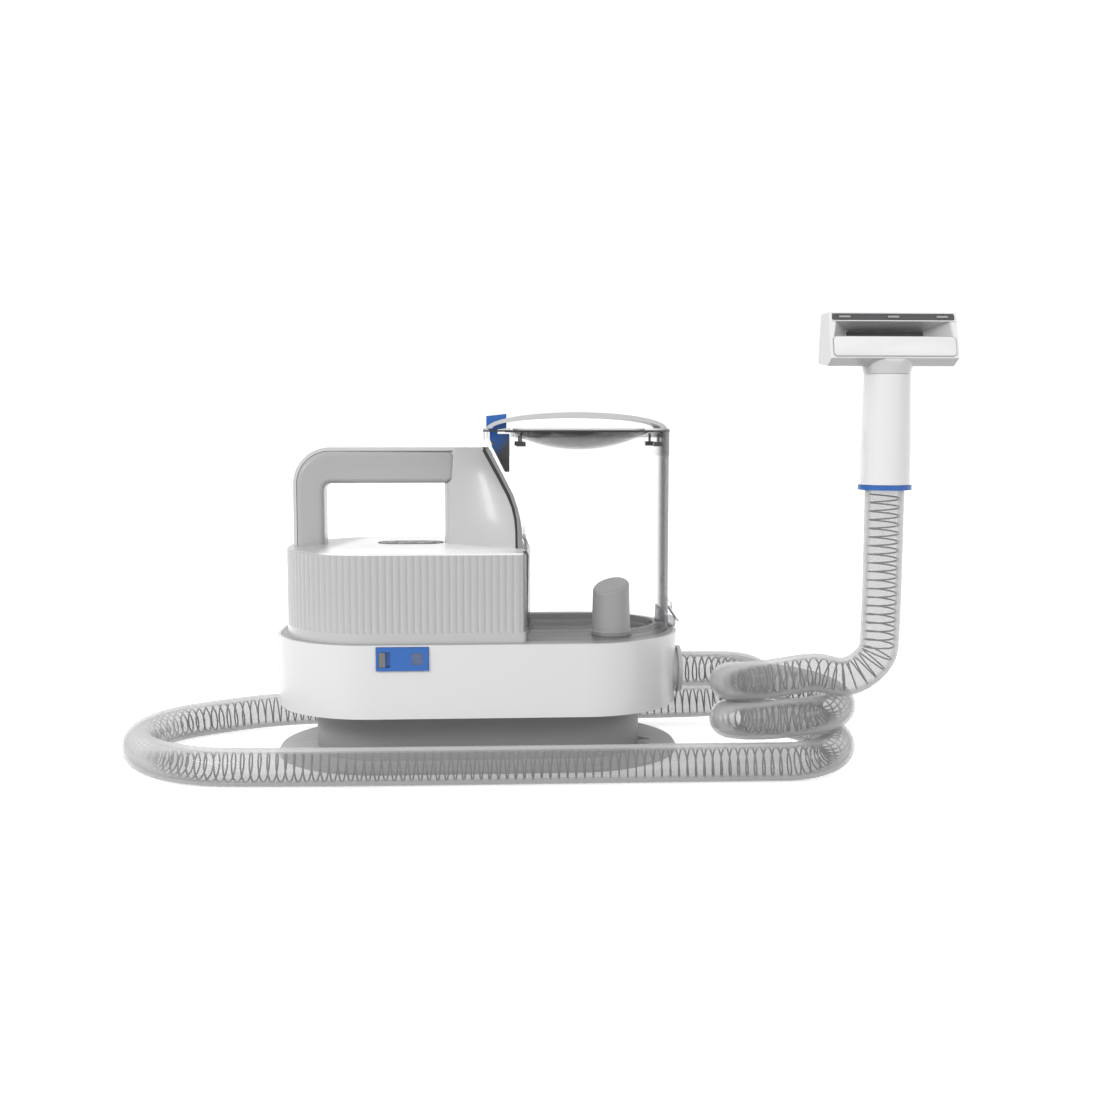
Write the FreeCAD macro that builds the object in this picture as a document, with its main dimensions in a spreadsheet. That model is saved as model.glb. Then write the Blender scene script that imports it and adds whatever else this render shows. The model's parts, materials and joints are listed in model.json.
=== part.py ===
import FreeCAD, Part
import math
import os
from types import SimpleNamespace

import Sketcher
from FreeCAD import Vector

# Spot extractor with its hose and hand tool.
# Millimetres. X to the right, Y to the back, Z up, origin at the middle of the base plate's underside.

doc = FreeCAD.newDocument("spot_extractor")
sheet = doc.addObject("Spreadsheet::Sheet", "sizes")

# Driving dimensions
DRIVING = {
    # general
    "wall": 3,
    "fit_gap": 0.3,
    "shaft_gap": 0.05,
    # base plate and neck
    "base_length": 362,
    "base_depth": 207,
    "base_corner": 97,
    "base_thick": 3,
    "foot_radius": 9,
    "foot_thick": 1.6,
    "foot_across": 250,
    "foot_apart": 120,
    "neck_length": 294,
    "neck_depth": 134,
    "neck_corner": 64,
    "groove_height": 44,
    "boss_radius": 4.5,
    "boss_height": 17,
    "screw_radius": 1.5,
    "screw_head_radius": 3.2,
    "screw_head_thick": 1.8,
    "screw_length": 14,
    "screw_sink": 0.2,
    "screw_spacing": 70,
    # white housing band
    "housing_length": 360,
    "housing_depth": 200,
    "housing_corner": 88,
    "band_height": 63,
    "band_draft": 1.5,
    "ledge": 3,
    "deck_thick": 3,
    "vent_width": 12,
    "vent_height": 2.4,
    "vent_pitch": 5,
    "vent_rows": 9,
    "vent_first": 61,
    "vent_spread": 15,
    "vent_columns": 5,
    # tray under the tank
    "tray_left": 44,
    "tray_right": 166,
    "tray_front": -29,
    "tray_back": 84,
    "tray_corner": 56,
    "tray_depth": 10,
    "tray_wall": 1.5,
    "tray_lip": 1,
    "tray_lip_width": 1.5,
    # suction port and riser
    "port_y": -17,
    "port_height": 73,
    "port_radius": 18.5,
    "port_flange_radius": 21.5,
    "port_flange_thick": 3.4,
    "port_proud": 3.5,
    "port_length": 24,
    "port_shoulder": 2,
    "riser_x": 117,
    "riser_y": -50,
    "riser_wall": 3,
    "riser_cap": 2.4,
    "riser_soft": 3.5,
    "riser_height": 48,
    "riser_tilt": 22,
    "riser_turn": 37,
    "riser_mouth": 12,
    "duct_radius": 14,
    "duct_wall": 2,
    "duct_box_margin": 1,
    # grey motor cover and white top
    "cover_left": -170,
    "cover_right": 40,
    "cover_half_depth": 89,
    "cover_corner": 80,
    "cover_height": 75,
    "flute_pitch": 6,
    "flute_depth": 1,
    "flute_foot": 9,
    "crown_rim": 1.5,
    "crown_rise": 2,
    "crown_inset": 20,
    # control panel
    "panel_x": -61,
    "panel_length": 59,
    "panel_width": 32,
    "panel_thick": 1.2,
    "button_radius": 5.5,
    "button_spacing": 17,
    "button_proud": 1,
    "button_travel": 1,
    "stem_radius": 2,
    # carry handle
    "handle_left": -164.6,
    "handle_post": 27.6,
    "handle_top": 275,
    "handle_bar": 32,
    "handle_half_width": 17,
    "handle_outer_radius": 33,
    "handle_inner_radius": 6,
    "handle_edge": 7,
    "handle_right": -7,
    "handle_foot_half": 44,
    "handle_foot_rise": 34,
    "trim_thick": 3,
    "trim_half_width": 14,
    # tower that the tank leans on
    "tower_left": -30,
    "tower_right": 33,
    "tower_left_half": 22,
    "tower_right_half": 62,
    "tower_top_half": 24,
    "tower_chamfer": 12,
    "tower_edge": 14,
    "lean_start": 197,
    "lean_radius": 92,
    "lean_angle": 27,
    "seal_thick": 1.5,
    "seal_half_width": 38,
    # waste tank
    "tank_gap": 4.5,
    "tank_left": 41,
    "tank_rim_left": 5.5,
    "tank_right": 173,
    "tank_half_depth": 88.5,
    "tank_corner": 80,
    "tank_rim": 290,
    "tank_lift": 0.2,
    "float_radius": 3.5,
    "float_travel": 6,
    "float_rise": 10.4,
    "float_gap": 0.4,
    "outlet_radius": 4,
    "outlet_rise": 5.5,
    "cage_wall": 2,
    "float_seat": 2.4,
    "cage_right": 28.6,
    "cage_left": 13,
    "cage_bottom": 253,
    "cage_top": 287,
    "cage_half": 15,
    # lid
    "lid_thick": 1.8,
    "lid_skirt": 6,
    "skirt_wall": 2,
    "notch_right": 29,
    "notch_half": 17,
    "dish_x": 92,
    "dish_radius": 66,
    "dish_flange": 3,
    "dish_sag": 17,
    "dish_wall": 1.6,
    "arch_left": 8,
    "arch_right": 169,
    "arch_rise": 14.5,
    "arch_thick": 4.8,
    "arch_foot": 5,
    "arch_half": 26,
    # blue release tab
    "tab_left": 8,
    "tab_right": 26,
    "tab_top": 305,
    "tab_half": 13,
    "tab_pivot_x": 14,
    "tab_pivot_z": 279,
    "tab_pin_radius": 1.5,
    # blue plate on the front
    "plate_x": -64,
    "plate_length": 44,
    "plate_height": 20,
    "plate_top": 108.7,
    "plate_proud": 1.2,
    "plate_seat": 2.6,
    "track_inset": 2,
    "track_length": 10,
    "track_low": 3,
    "track_high": 4,
    "window_inset": 5,
    "window_length": 9,
    "latch_proud": 0.6,
    "latch_travel": 4,
    # hand tool
    "tool_x": 331.5,
    "tool_y": -140,
    "ring_bottom": 242,
    "ring_height": 4,
    "ring_radius": 21.5,
    "spigot_length": 16,
    "grip_bottom_radius": 20.4,
    "grip_top_radius": 18.4,
    "grip_top": 335,
    "grip_bore": 12,
    "nose_radius": 15.5,
    "nose_length": 10,
    "neck_flare": 3.5,
    "neck_rise": 14,
    "head_length": 103,
    "head_low": 341.5,
    "head_top": 384,
    "head_front": -21,
    "head_front_rise": 6,
    "head_keel": 12,
    "head_keel_rise": 3,
    "head_lean": 10,
    "head_roof": 25,
    "head_back": 19,
    "head_shoulder": 14,
    "throat_top": 357,
    "mouth_length": 98,
    "mouth_low": 365,
    "mouth_height": 11,
    "slot_length": 64,
    "slot_height": 4.5,
    "chamber_front": -4,
    "chamber_back": 10,
    "strip_length": 99,
    "strip_height": 5,
    "strip_low": 378,
    "strip_deep": 4,
    "plate_raise": 0.8,
    "trigger_half": 6,
    "trigger_length": 52,
    "trigger_pin_z": 322,
    "trigger_pin_out": 15,
    "trigger_pin_radius": 1.2,
    # hose
    "hose_radius": 16,
    "hose_wall": 3,
    "socket_gap": 0.2,
    "wire_thick": 1.8,
    "wire_pitch": 7.5,
    "wire_gap": 0.1,
    "front_curls": 52,
    "riser_curls": 14,
    # inside
    "motor_x": -90,
    "motor_radius": 44,
    "motor_length": 56,
    "fan_radius": 60,
    "fan_height": 26,
    "fan_wall": 2,
    "mount_thick": 4,
    "mount_width": 12,
    "motor_collar": 4,
    "impeller_gap": 3,
    "impeller_inset": 8,
    "impeller_short": 12,
    "hub_wall": 5,
    "blade_count": 8,
    "shaft_radius": 4,
    "air_radius": 17,
    "air_wall": 2,
    "clean_corner": 34,
    "blade_thick": 1.6,
    "pump_x": -5,
    "pump_y": 48,
    "pump_length": 40,
    "pump_depth": 28,
    "pump_floor": 6,
    "pump_room": 20,
    "pump_room_radius": 10,
    "rotor_radius": 5,
    "rotor_lobe": 3,
    "rotor_lobe_gap": 1,
    "rotor_gap": 0.4,
    "board_length": 64,
    "board_width": 32,
    "board_thick": 1.2,
    "clean_short": 14,
    "clean_depth": 76,
    "clean_wall": 2,
    "filter_inset": 10,
    "filter_thick": 8,
    "filter_width": 48,
    "filter_short": 8,
    "gland_radius": 8,
    "gland_bore": 3.6,
    "gland_rim": 2.5,
    "gland_from_motor": 15,
    "filler_radius": 9,
    "filler_wall": 2,
    "filler_from_tray": 20,
    "cap_radius": 12,
    "cap_thick": 3,
    "cap_reach": 10,
    # hook with its wire bail
    "hook_rise": 18,
    "hook_half": 9,
    "hook_deep": 5,
    "hook_pin_out": 2.5,
    "bail_radius": 0.9,
    "bail_drop": 13,
    "bail_reach": 8.5,
    # clips under the lid
    "clip_long": 8,
    "clip_wide": 6,
    "clip_toe": 4,
    "clip_stem": 1.6,
    "clip_top": 2.6,
    "clip_drop": 14,
    "clip_from_notch": 5.5,
    "clip_from_edge": 13,
    "clip_aside": 12,
}
for row, (alias, number) in enumerate(DRIVING.items(), start=1):
    sheet.set(f"A{row}", alias)
    sheet.set(f"B{row}", str(number))
    sheet.setAlias(f"B{row}", alias)
doc.recompute()


# A size is a number that also carries its spreadsheet formula
class Size(float):
    def __new__(cls, number, formula):
        made = super().__new__(cls, number)
        made.formula = formula
        return made

    def __add__(self, other):
        return Size(float(self) + float(other), f"({self.formula} + {formula_of(other)})")

    def __radd__(self, other):
        return Size(float(other) + float(self), f"({formula_of(other)} + {self.formula})")

    def __sub__(self, other):
        return Size(float(self) - float(other), f"({self.formula} - {formula_of(other)})")

    def __rsub__(self, other):
        return Size(float(other) - float(self), f"({formula_of(other)} - {self.formula})")

    def __mul__(self, other):
        return Size(float(self) * float(other), f"({self.formula} * {formula_of(other)})")

    def __rmul__(self, other):
        return Size(float(other) * float(self), f"({formula_of(other)} * {self.formula})")

    def __truediv__(self, other):
        return Size(float(self) / float(other), f"({self.formula} / {formula_of(other)})")

    def __neg__(self):
        return Size(-float(self), f"(0 - {self.formula})")


def formula_of(number):
    return number.formula if isinstance(number, Size) else str(float(number))


def bind(thing, prop, number):
    thing.setExpression(prop, formula_of(number))


size = SimpleNamespace(**{alias: Size(number, f"sizes.{alias}") for alias, number in DRIVING.items()})

# Levels and places worked out from the driving dimensions
plate_top = size.base_thick
band_bottom = plate_top + size.groove_height
band_top = band_bottom + size.band_height
deck_bottom = band_top - size.deck_thick
cover_top = band_top + size.cover_height
crown = cover_top + size.crown_rim + size.crown_rise
tray_top = band_top + size.tray_lip
tank_bottom = tray_top + size.tank_lift
lid_top = size.tank_rim + size.lid_thick
housing_right = size.housing_length / 2
housing_back = size.housing_depth / 2
port_face = housing_right + size.port_proud
riser_radius = size.duct_radius + size.riser_wall
post_right = size.handle_left + size.handle_post
bar_bottom = size.handle_top - size.handle_bar
mouth_top = size.mouth_low + size.mouth_height
ring_top = size.ring_bottom + size.ring_height
middle_line = Size(0, "0")
hose_socket = size.hose_radius + size.socket_gap


# Sketch and feature helpers


def new_body(label):
    body = doc.addObject("PartDesign::Body", label)
    body.Label = label
    return body


def sketch_in(body, plane, at=(0, 0, 0)):
    sketch = body.newObject("Sketcher::SketchObject", body.Name + "_outline")
    origin_plane = next(f for f in body.Origin.OriginFeatures if f.Role == plane)
    sketch.AttachmentSupport = [(origin_plane, "")]
    sketch.MapMode = "FlatFace"
    for axis, number in zip("xyz", at):
        bind(sketch, f"AttachmentOffset.Base.{axis}", number)
    return sketch


def hold(sketch, name, number, *constraint):
    index = sketch.addConstraint(Sketcher.Constraint(*constraint, float(number)))
    sketch.renameConstraint(index, name)
    bind(sketch, f"Constraints.{name}", number)


# A closed outline of straight edges through the given corners
def polygon(sketch, corners):
    count = len(corners)
    for start, end in zip(corners, corners[1:] + corners[:1]):
        sketch.addGeometry(Part.LineSegment(Vector(*start, 0), Vector(*end, 0)), False)
    for index in range(count):
        sketch.addConstraint(Sketcher.Constraint("Coincident", index, 2, (index + 1) % count, 1))
    for index, (x, y) in enumerate(corners):
        hold(sketch, f"x{index}", x, "DistanceX", -1, 1, index, 1)
        hold(sketch, f"y{index}", y, "DistanceY", -1, 1, index, 1)


# A rectangle from the sketch's origin, with one corner radius at its left end and one at its right
def rounded(sketch, long, deep, left, right):
    lines = [
        (Vector(left, 0, 0), Vector(long - right, 0, 0)),
        (Vector(long, right, 0), Vector(long, deep - right, 0)),
        (Vector(long - right, deep, 0), Vector(left, deep, 0)),
        (Vector(0, deep - left, 0), Vector(0, left, 0)),
    ]
    arcs = [
        (Vector(long - right, right, 0), right, -90),
        (Vector(long - right, deep - right, 0), right, 0),
        (Vector(left, deep - left, 0), left, 90),
        (Vector(left, left, 0), left, 180),
    ]
    for (start, end), (centre, radius, begins) in zip(lines, arcs):
        sketch.addGeometry(Part.LineSegment(start, end), False)
        circle = Part.Circle(centre, Vector(0, 0, 1), float(radius))
        arc = Part.ArcOfCircle(circle, math.radians(begins), math.radians(begins + 90))
        sketch.addGeometry(arc, False)
    for index in range(8):
        sketch.addConstraint(Sketcher.Constraint("Tangent", index, 2, (index + 1) % 8, 1))
    sketch.addConstraint(Sketcher.Constraint("Horizontal", 0))
    sketch.addConstraint(Sketcher.Constraint("Horizontal", 4))
    sketch.addConstraint(Sketcher.Constraint("Vertical", 2))
    sketch.addConstraint(Sketcher.Constraint("Vertical", 6))
    sketch.addConstraint(Sketcher.Constraint("PointOnObject", 0, 1, -1))
    sketch.addConstraint(Sketcher.Constraint("PointOnObject", 6, 1, -2))
    hold(sketch, "long", long, "DistanceX", -1, 1, 2, 1)
    hold(sketch, "deep", deep, "DistanceY", -1, 1, 4, 1)
    for index, radius in ((1, right), (3, right), (5, left), (7, left)):
        hold(sketch, f"corner{index}", radius, "Radius", index)


def circles(sketch, places, radius):
    for index, (x, y) in enumerate(places):
        sketch.addGeometry(Part.Circle(Vector(x, y, 0), Vector(0, 0, 1), float(radius)), False)
        hold(sketch, f"x{index}", x, "DistanceX", -1, 1, index, 3)
        hold(sketch, f"y{index}", y, "DistanceY", -1, 1, index, 3)
        hold(sketch, f"radius{index}", radius, "Radius", index)


def add(body, kind, sketch, length, **flags):
    feature = body.newObject(f"PartDesign::{kind}", f"{body.Name}_{kind.lower()}")
    feature.Profile = sketch
    bind(feature, "Length", length)
    for flag, value in flags.items():
        setattr(feature, flag, value)
    return feature


def loft(body, kind, first, second):
    feature = body.newObject(f"PartDesign::{kind}", f"{body.Name}_{kind.lower()}")
    feature.Profile = first
    feature.Sections = [second]
    feature.Ruled = True
    return feature


def slab(body, kind, x, y, z, left, right):
    """A rounded plate or pocket between two values along each axis."""
    height = z[1] - z[0]
    level = z[1] if kind == "Pocket" else z[0]
    sketch = sketch_in(body, "XY_Plane", (x[0], y[0], level))
    rounded(sketch, x[1] - x[0], y[1] - y[0], left, right)
    return add(body, kind, sketch, height)


def holes(body, kind, places, radius, z):
    level = z[1] if kind == "Pocket" else z[0]
    sketch = sketch_in(body, "XY_Plane", (0, 0, level))
    circles(sketch, places, radius)
    return add(body, kind, sketch, z[1] - z[0])


def side_profile(body, kind, corners, width, at=0):
    """A prism across Y, from corners in X and Z, with its middle plane at the given Y."""
    sketch = sketch_in(body, "XZ_Plane", (0, 0, -at))
    polygon(sketch, corners)
    return add(body, kind, sketch, width, Midplane=True)


def end_profile(body, kind, corners, width, at=0):
    """A prism across X, from corners in Y and Z, with its middle plane at the given X."""
    sketch = sketch_in(body, "YZ_Plane", (0, 0, at))
    polygon(sketch, corners)
    return add(body, kind, sketch, width, Midplane=True)


def edges_where(shape, wanted):
    return [f"Edge{index}" for index, edge in enumerate(shape.Edges, start=1) if wanted(edge)]


def round_edges(body, radius, wanted):
    doc.recompute()
    tip = body.Tip
    feature = body.newObject("PartDesign::Fillet", f"{body.Name}_fillet")
    feature.Base = (tip, edges_where(tip.Shape, wanted))
    bind(feature, "Radius", radius)
    return feature


# Part primitives and booleans


def place(thing, x, y, z):
    for axis, number in zip("xyz", (x, y, z)):
        bind(thing, f"Placement.Base.{axis}", number)
    return thing


def block(name, x, y, z):
    made = doc.addObject("Part::Box", name)
    bind(made, "Length", x[1] - x[0])
    bind(made, "Width", y[1] - y[0])
    bind(made, "Height", z[1] - z[0])
    return place(made, x[0], y[0], z[0])


TURN = {"x": (Vector(0, 1, 0), 90), "y": (Vector(1, 0, 0), -90), "z": (Vector(0, 0, 1), 0)}


def rod(name, x, y, z, radius, length, along="z"):
    made = doc.addObject("Part::Cylinder", name)
    bind(made, "Radius", radius)
    bind(made, "Height", length)
    made.Placement.Rotation = FreeCAD.Rotation(*TURN[along])
    return place(made, x, y, z)


def cone(name, x, y, z, low, high, length):
    made = doc.addObject("Part::Cone", name)
    bind(made, "Radius1", low)
    bind(made, "Radius2", high)
    bind(made, "Height", length)
    return place(made, x, y, z)


def ball(name, x, y, z, radius):
    made = doc.addObject("Part::Sphere", name)
    bind(made, "Radius", radius)
    return place(made, x, y, z)


def cut(name, base, *tools):
    for index, tool in enumerate(tools):
        made = doc.addObject("Part::Cut", name if index == len(tools) - 1 else f"{name}_cut{index}")
        made.Base = base
        made.Tool = tool
        made.Refine = True
        base = made
    base.Label = name
    return base


def common(name, first, second):
    made = doc.addObject("Part::Common", name)
    made.Base = first
    made.Tool = second
    made.Refine = True
    made.Label = name
    return made


def fuse(name, *pieces):
    made = doc.addObject("Part::MultiFuse", name)
    made.Shapes = list(pieces)
    made.Refine = True
    made.Label = name
    return made


def group(name, pieces):
    made = doc.addObject("Part::Compound", name)
    made.Links = list(pieces)
    made.Label = name
    return made


def coded(name, shape):
    made = doc.addObject("Part::Feature", name)
    made.Shape = shape
    made.Label = name
    return made


PARTS = []


def keep(*made):
    PARTS.extend(made)
    return made[0]


# Base plate, feet, screws and neck
foot_places = [
    (across * size.foot_across / 2, apart * size.foot_apart / 2) for across in (-1, 1) for apart in (-1, 1)
]
boss_y = size.neck_depth / 2 - size.wall - size.boss_radius / 2
screw_places = [(step * size.screw_spacing, side * boss_y) for step in (-1, 0, 1) for side in (-1, 1)]
seat_z = size.screw_head_thick + size.screw_sink


def make_base_plate():
    body = new_body("base_plate")
    across, deep = size.base_length / 2, size.base_depth / 2
    slab(body, "Pad", (-across, across), (-deep, deep), (0, plate_top), size.base_corner, size.base_corner)
    holes(body, "Pocket", foot_places, size.foot_radius + size.fit_gap, (0, size.foot_thick))
    holes(body, "Pocket", screw_places, size.screw_head_radius + size.fit_gap, (0, seat_z))
    holes(body, "Pocket", screw_places, size.screw_radius + size.fit_gap, (0, plate_top))
    return body


def make_feet():
    feet = [rod(f"foot_{i}", x, y, 0, size.foot_radius, size.foot_thick) for i,
            (x, y) in enumerate(foot_places)]
    return group("base_feet", feet)


def make_screws():
    screws = []
    for index, (x, y) in enumerate(screw_places):
        head = rod(f"screw_head_{index}", x, y, seat_z - size.screw_head_thick, size.screw_head_radius,
                   size.screw_head_thick)
        shank = rod(f"screw_shank_{index}", x, y, seat_z, size.screw_radius, size.screw_length)
        screws.append(fuse(f"screw_{index}", head, shank))
    return group("base_screws", screws)


def make_neck():
    body = new_body("neck")
    across, deep = size.neck_length / 2, size.neck_depth / 2
    slab(body, "Pad", (-across, across), (-deep, deep), (plate_top, band_bottom), size.neck_corner,
         size.neck_corner)
    inner = size.neck_corner - size.wall
    slab(body, "Pocket", (-across + size.wall, across - size.wall), (-deep + size.wall, deep - size.wall),
         (plate_top, band_bottom), inner, inner)
    holes(body, "Pad", screw_places, size.boss_radius, (plate_top, plate_top + size.boss_height))
    holes(body, "Pocket", screw_places, size.screw_radius + size.fit_gap,
          (plate_top, plate_top + size.boss_height))
    return body


keep(make_base_plate(), make_feet(), make_screws(), make_neck())

# White housing band with its vents, port hole, front pocket and deck
plate_left = size.plate_x - size.plate_length / 2
plate_right = size.plate_x + size.plate_length / 2
plate_bottom = size.plate_top - size.plate_height
gland_x = size.motor_x - size.gland_from_motor
gland_z = band_bottom + size.band_height / 2
filler_x = size.tray_left + size.filler_from_tray
filler_z = gland_z


def make_band():
    body = new_body("housing_band")
    lower = sketch_in(body, "XY_Plane",
                      (-housing_right + size.band_draft, -housing_back + size.band_draft, band_bottom))
    rounded(lower, size.housing_length - 2 * size.band_draft, size.housing_depth - 2 * size.band_draft,
            size.housing_corner - size.band_draft, size.housing_corner - size.band_draft)
    upper = sketch_in(body, "XY_Plane", (-housing_right, -housing_back, band_top))
    rounded(upper, size.housing_length, size.housing_depth, size.housing_corner, size.housing_corner)
    loft(body, "AdditiveLoft", lower, upper)
    mouth = size.wall
    slab(body, "Pocket", (-housing_right + mouth, housing_right - mouth),
         (-housing_back + mouth, housing_back - mouth),
         (deck_bottom, band_top), size.housing_corner - mouth, size.housing_corner - mouth)
    inset = size.wall + size.ledge
    slab(body, "Pocket", (-housing_right + inset, housing_right - inset),
         (-housing_back + inset, housing_back - inset),
         (band_bottom + size.wall, deck_bottom), size.housing_corner - inset, size.housing_corner - inset)
    hole = rod("port_hole", housing_right - size.housing_corner / 2, size.port_y, size.port_height,
               size.port_radius + size.fit_gap, size.housing_corner, "x")
    pocket = block("plate_pocket", (plate_left - size.fit_gap, plate_right + size.fit_gap),
                   (-housing_back - size.plate_seat, -housing_back + size.plate_seat),
                   (plate_bottom - size.fit_gap, size.plate_top + size.fit_gap))
    filler = rod("filler_hole", filler_x, housing_back - 4 * size.wall, filler_z,
                 size.filler_radius + size.fit_gap,
                 6 * size.wall, "y")
    gland = rod("gland_hole", gland_x, housing_back - 4 * size.wall, gland_z,
                size.gland_radius + size.fit_gap,
                6 * size.wall, "y")
    vents = []
    for row in range(int(size.vent_rows)):
        for column in range(int(size.vent_columns)):
            middle = (column - (size.vent_columns - 1) / 2) * size.vent_spread
            low = size.vent_first + row * size.vent_pitch
            vents.append(block(f"vent_{row}_{column}",
                               (-housing_right - size.wall, -housing_right + 4 * size.wall),
                               (middle - size.vent_width / 2, middle + size.vent_width / 2),
                               (low, low + size.vent_height)))
    band = cut("housing_band_shell", body, hole, pocket, gland, filler, group("vents", vents))
    body.Label = "housing_band_solid"
    band.Label = "housing_band"
    return band


tray_x = (size.tray_left, size.tray_right)
tray_y = (size.tray_front, size.tray_back)
deck_inset = size.wall + size.fit_gap


def grown(span, by):
    return (span[0] - by, span[1] + by)


def make_deck():
    body = new_body("deck")
    slab(body, "Pad", (-housing_right + deck_inset, housing_right - deck_inset),
         (-housing_back + deck_inset, housing_back - deck_inset), (deck_bottom, band_top),
         size.housing_corner - deck_inset, size.housing_corner - deck_inset)
    slab(body, "Pocket", tray_x, tray_y, (deck_bottom, band_top), size.wall, size.tray_corner)
    inside = size.cover_half_depth - 4 * size.wall
    slab(body, "Pocket", (size.cover_left + 4 * size.wall, size.cover_right - 4 * size.wall),
         (-inside, inside),
         (deck_bottom, band_top), size.cover_corner - 4 * size.wall, size.wall)
    holes(body, "Pocket", [(size.riser_x, size.riser_y)], size.duct_radius + size.duct_wall + size.fit_gap,
          (deck_bottom, band_top))
    return body


def make_tray():
    body = new_body("tank_tray")
    floor = band_top - size.tray_depth
    slab(body, "Pad", grown(tray_x, -size.fit_gap), grown(tray_y, -size.fit_gap),
         (floor - size.tray_wall, band_top),
         size.wall - size.fit_gap, size.tray_corner - size.fit_gap)
    slab(body, "Pad", grown(tray_x, size.tray_lip_width), grown(tray_y, size.tray_lip_width),
         (band_top, tray_top),
         size.wall + size.tray_lip_width, size.tray_corner + size.tray_lip_width)
    inner = size.fit_gap + size.tray_wall
    slab(body, "Pocket", grown(tray_x, -inner), grown(tray_y, -inner), (floor, tray_top),
         size.wall - size.tray_wall,
         size.tray_corner - inner)
    return body


keep(make_band(), make_deck(), make_tray())

# Blue plate on the front with its sliding tongue and window
track = (plate_left + size.track_inset, plate_left + size.track_inset + size.track_length)
track_z = (plate_bottom + size.track_low, size.plate_top - size.track_high)
window = (plate_right - size.window_inset - size.window_length, plate_right - size.window_inset)
window_z = (plate_bottom + size.window_inset, size.plate_top - size.window_inset)
plate_back = -housing_back + size.plate_seat
plate_front = -housing_back - size.plate_proud


def make_side_plate():
    body = block("plate_block", (plate_left, plate_right), (plate_front, plate_back),
                 (plate_bottom, size.plate_top))
    slot = block("track_cut", track, (plate_front - 1, plate_back - 1), track_z)
    glass = block("window_cut", window, (plate_front - 1, plate_back - 1), window_z)
    return cut("side_plate", body, slot, glass)


def make_tongue():
    gap = size.fit_gap
    return block("slide_latch", (track[0] + gap, track[1] - gap - size.latch_travel),
                 (plate_front - size.latch_proud, plate_back - 1 - gap), (track_z[0] + gap, track_z[1] - gap))


def make_window():
    return block("plate_window", window, (plate_front, plate_back - 1), window_z)


keep(make_side_plate(), make_tongue(), make_window())


# Suction port, duct to the riser, and the seal under the riser
def make_port():
    inner = port_face - size.port_length
    barrel = rod("port_barrel", inner, size.port_y, size.port_height, size.port_radius, size.port_length,
                 "x")
    flange = rod("port_flange", port_face - size.port_flange_thick, size.port_y, size.port_height,
                 size.port_flange_radius, size.port_flange_thick, "x")
    bore = rod("port_bore", port_face - size.port_length / 2, size.port_y, size.port_height,
               hose_socket, size.port_length, "x")
    throat = rod("port_throat", inner - 1, size.port_y, size.port_height,
                 size.hose_radius - size.port_shoulder, size.port_length, "x")
    return cut("hose_port", fuse("port_body", barrel, flange), bore, throat)


def tube_along(path, outer, inner, start, heading):
    """A pipe along a wire: a ring swept from its start."""
    rings = []
    for radius in (outer, inner):
        ring = Part.Wire([Part.Circle(start, heading, float(radius)).toShape()])
        rings.append(path.makePipeShell([ring], True, False))
    return rings[0].cut(rings[1])


def rounded_path(points, share=0.45):
    """Straight runs joined by tangent arcs, each as large as its two runs allow."""
    edges = []
    at = points[0]
    for before, corner, after in zip(points, points[1:], points[2:]):
        come, go = corner - before, after - corner
        turn = come.getAngle(go)
        shorter = min(come.Length, go.Length)
        radius = share * shorter / math.tan(turn / 2)
        back = Vector(come).normalize() * (share * shorter)
        ahead = Vector(go).normalize() * (share * shorter)
        start, end = corner - back, corner + ahead
        inward = (ahead - back).normalize()
        middle = corner + inward * (radius / math.cos(turn / 2) - radius)
        edges.append(Part.LineSegment(at, start).toShape())
        edges.append(Part.Arc(start, middle, end).toShape())
        at = end
    edges.append(Part.LineSegment(at, points[-1]).toShape())
    return Part.Wire(edges)


def make_duct():
    """A box with two round necks: one comes in from the port, the other goes up to the deck."""
    start = port_face - size.port_length
    neck = size.duct_radius + size.duct_wall
    reach = neck + size.duct_box_margin
    x = (size.riser_x - reach, size.riser_x + reach)
    y = (size.riser_y - reach, size.port_y + reach)
    z = (size.port_height - reach, size.port_height + reach)
    box = block("duct_box", x, y, z)
    room = block("duct_room", grown(x, -size.duct_wall), grown(y, -size.duct_wall),
                 grown(z, -size.duct_wall))
    into = start - size.riser_x
    up = band_top - size.port_height
    inlet = rod("duct_inlet", size.riser_x, size.port_y, size.port_height, neck, into, "x")
    outlet = rod("duct_outlet", size.riser_x, size.riser_y, size.port_height, neck, up)
    inlet_bore = rod("duct_inlet_bore", size.riser_x, size.port_y, size.port_height, size.duct_radius,
                     into + 1, "x")
    outlet_bore = rod("duct_outlet_bore", size.riser_x, size.riser_y, size.port_height, size.duct_radius,
                      up + 1)
    return cut("suction_duct", fuse("duct_solid", box, inlet, outlet), room, inlet_bore, outlet_bore)


def make_inlet_seal():
    outer = size.duct_radius + size.duct_wall
    ring = rod("seal_ring", size.riser_x, size.riser_y, band_top, outer, size.tray_lip)
    bore = rod("seal_bore", size.riser_x, size.riser_y, band_top - 1, size.duct_radius, size.tray_lip + 2)
    return cut("inlet_seal", ring, bore)


keep(make_port(), make_duct(), make_inlet_seal())

# Grey fluted motor cover
cover_x = (size.cover_left, size.cover_right)
cover_y = (-size.cover_half_depth, size.cover_half_depth)
seam_corner = size.wall + 1


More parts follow.
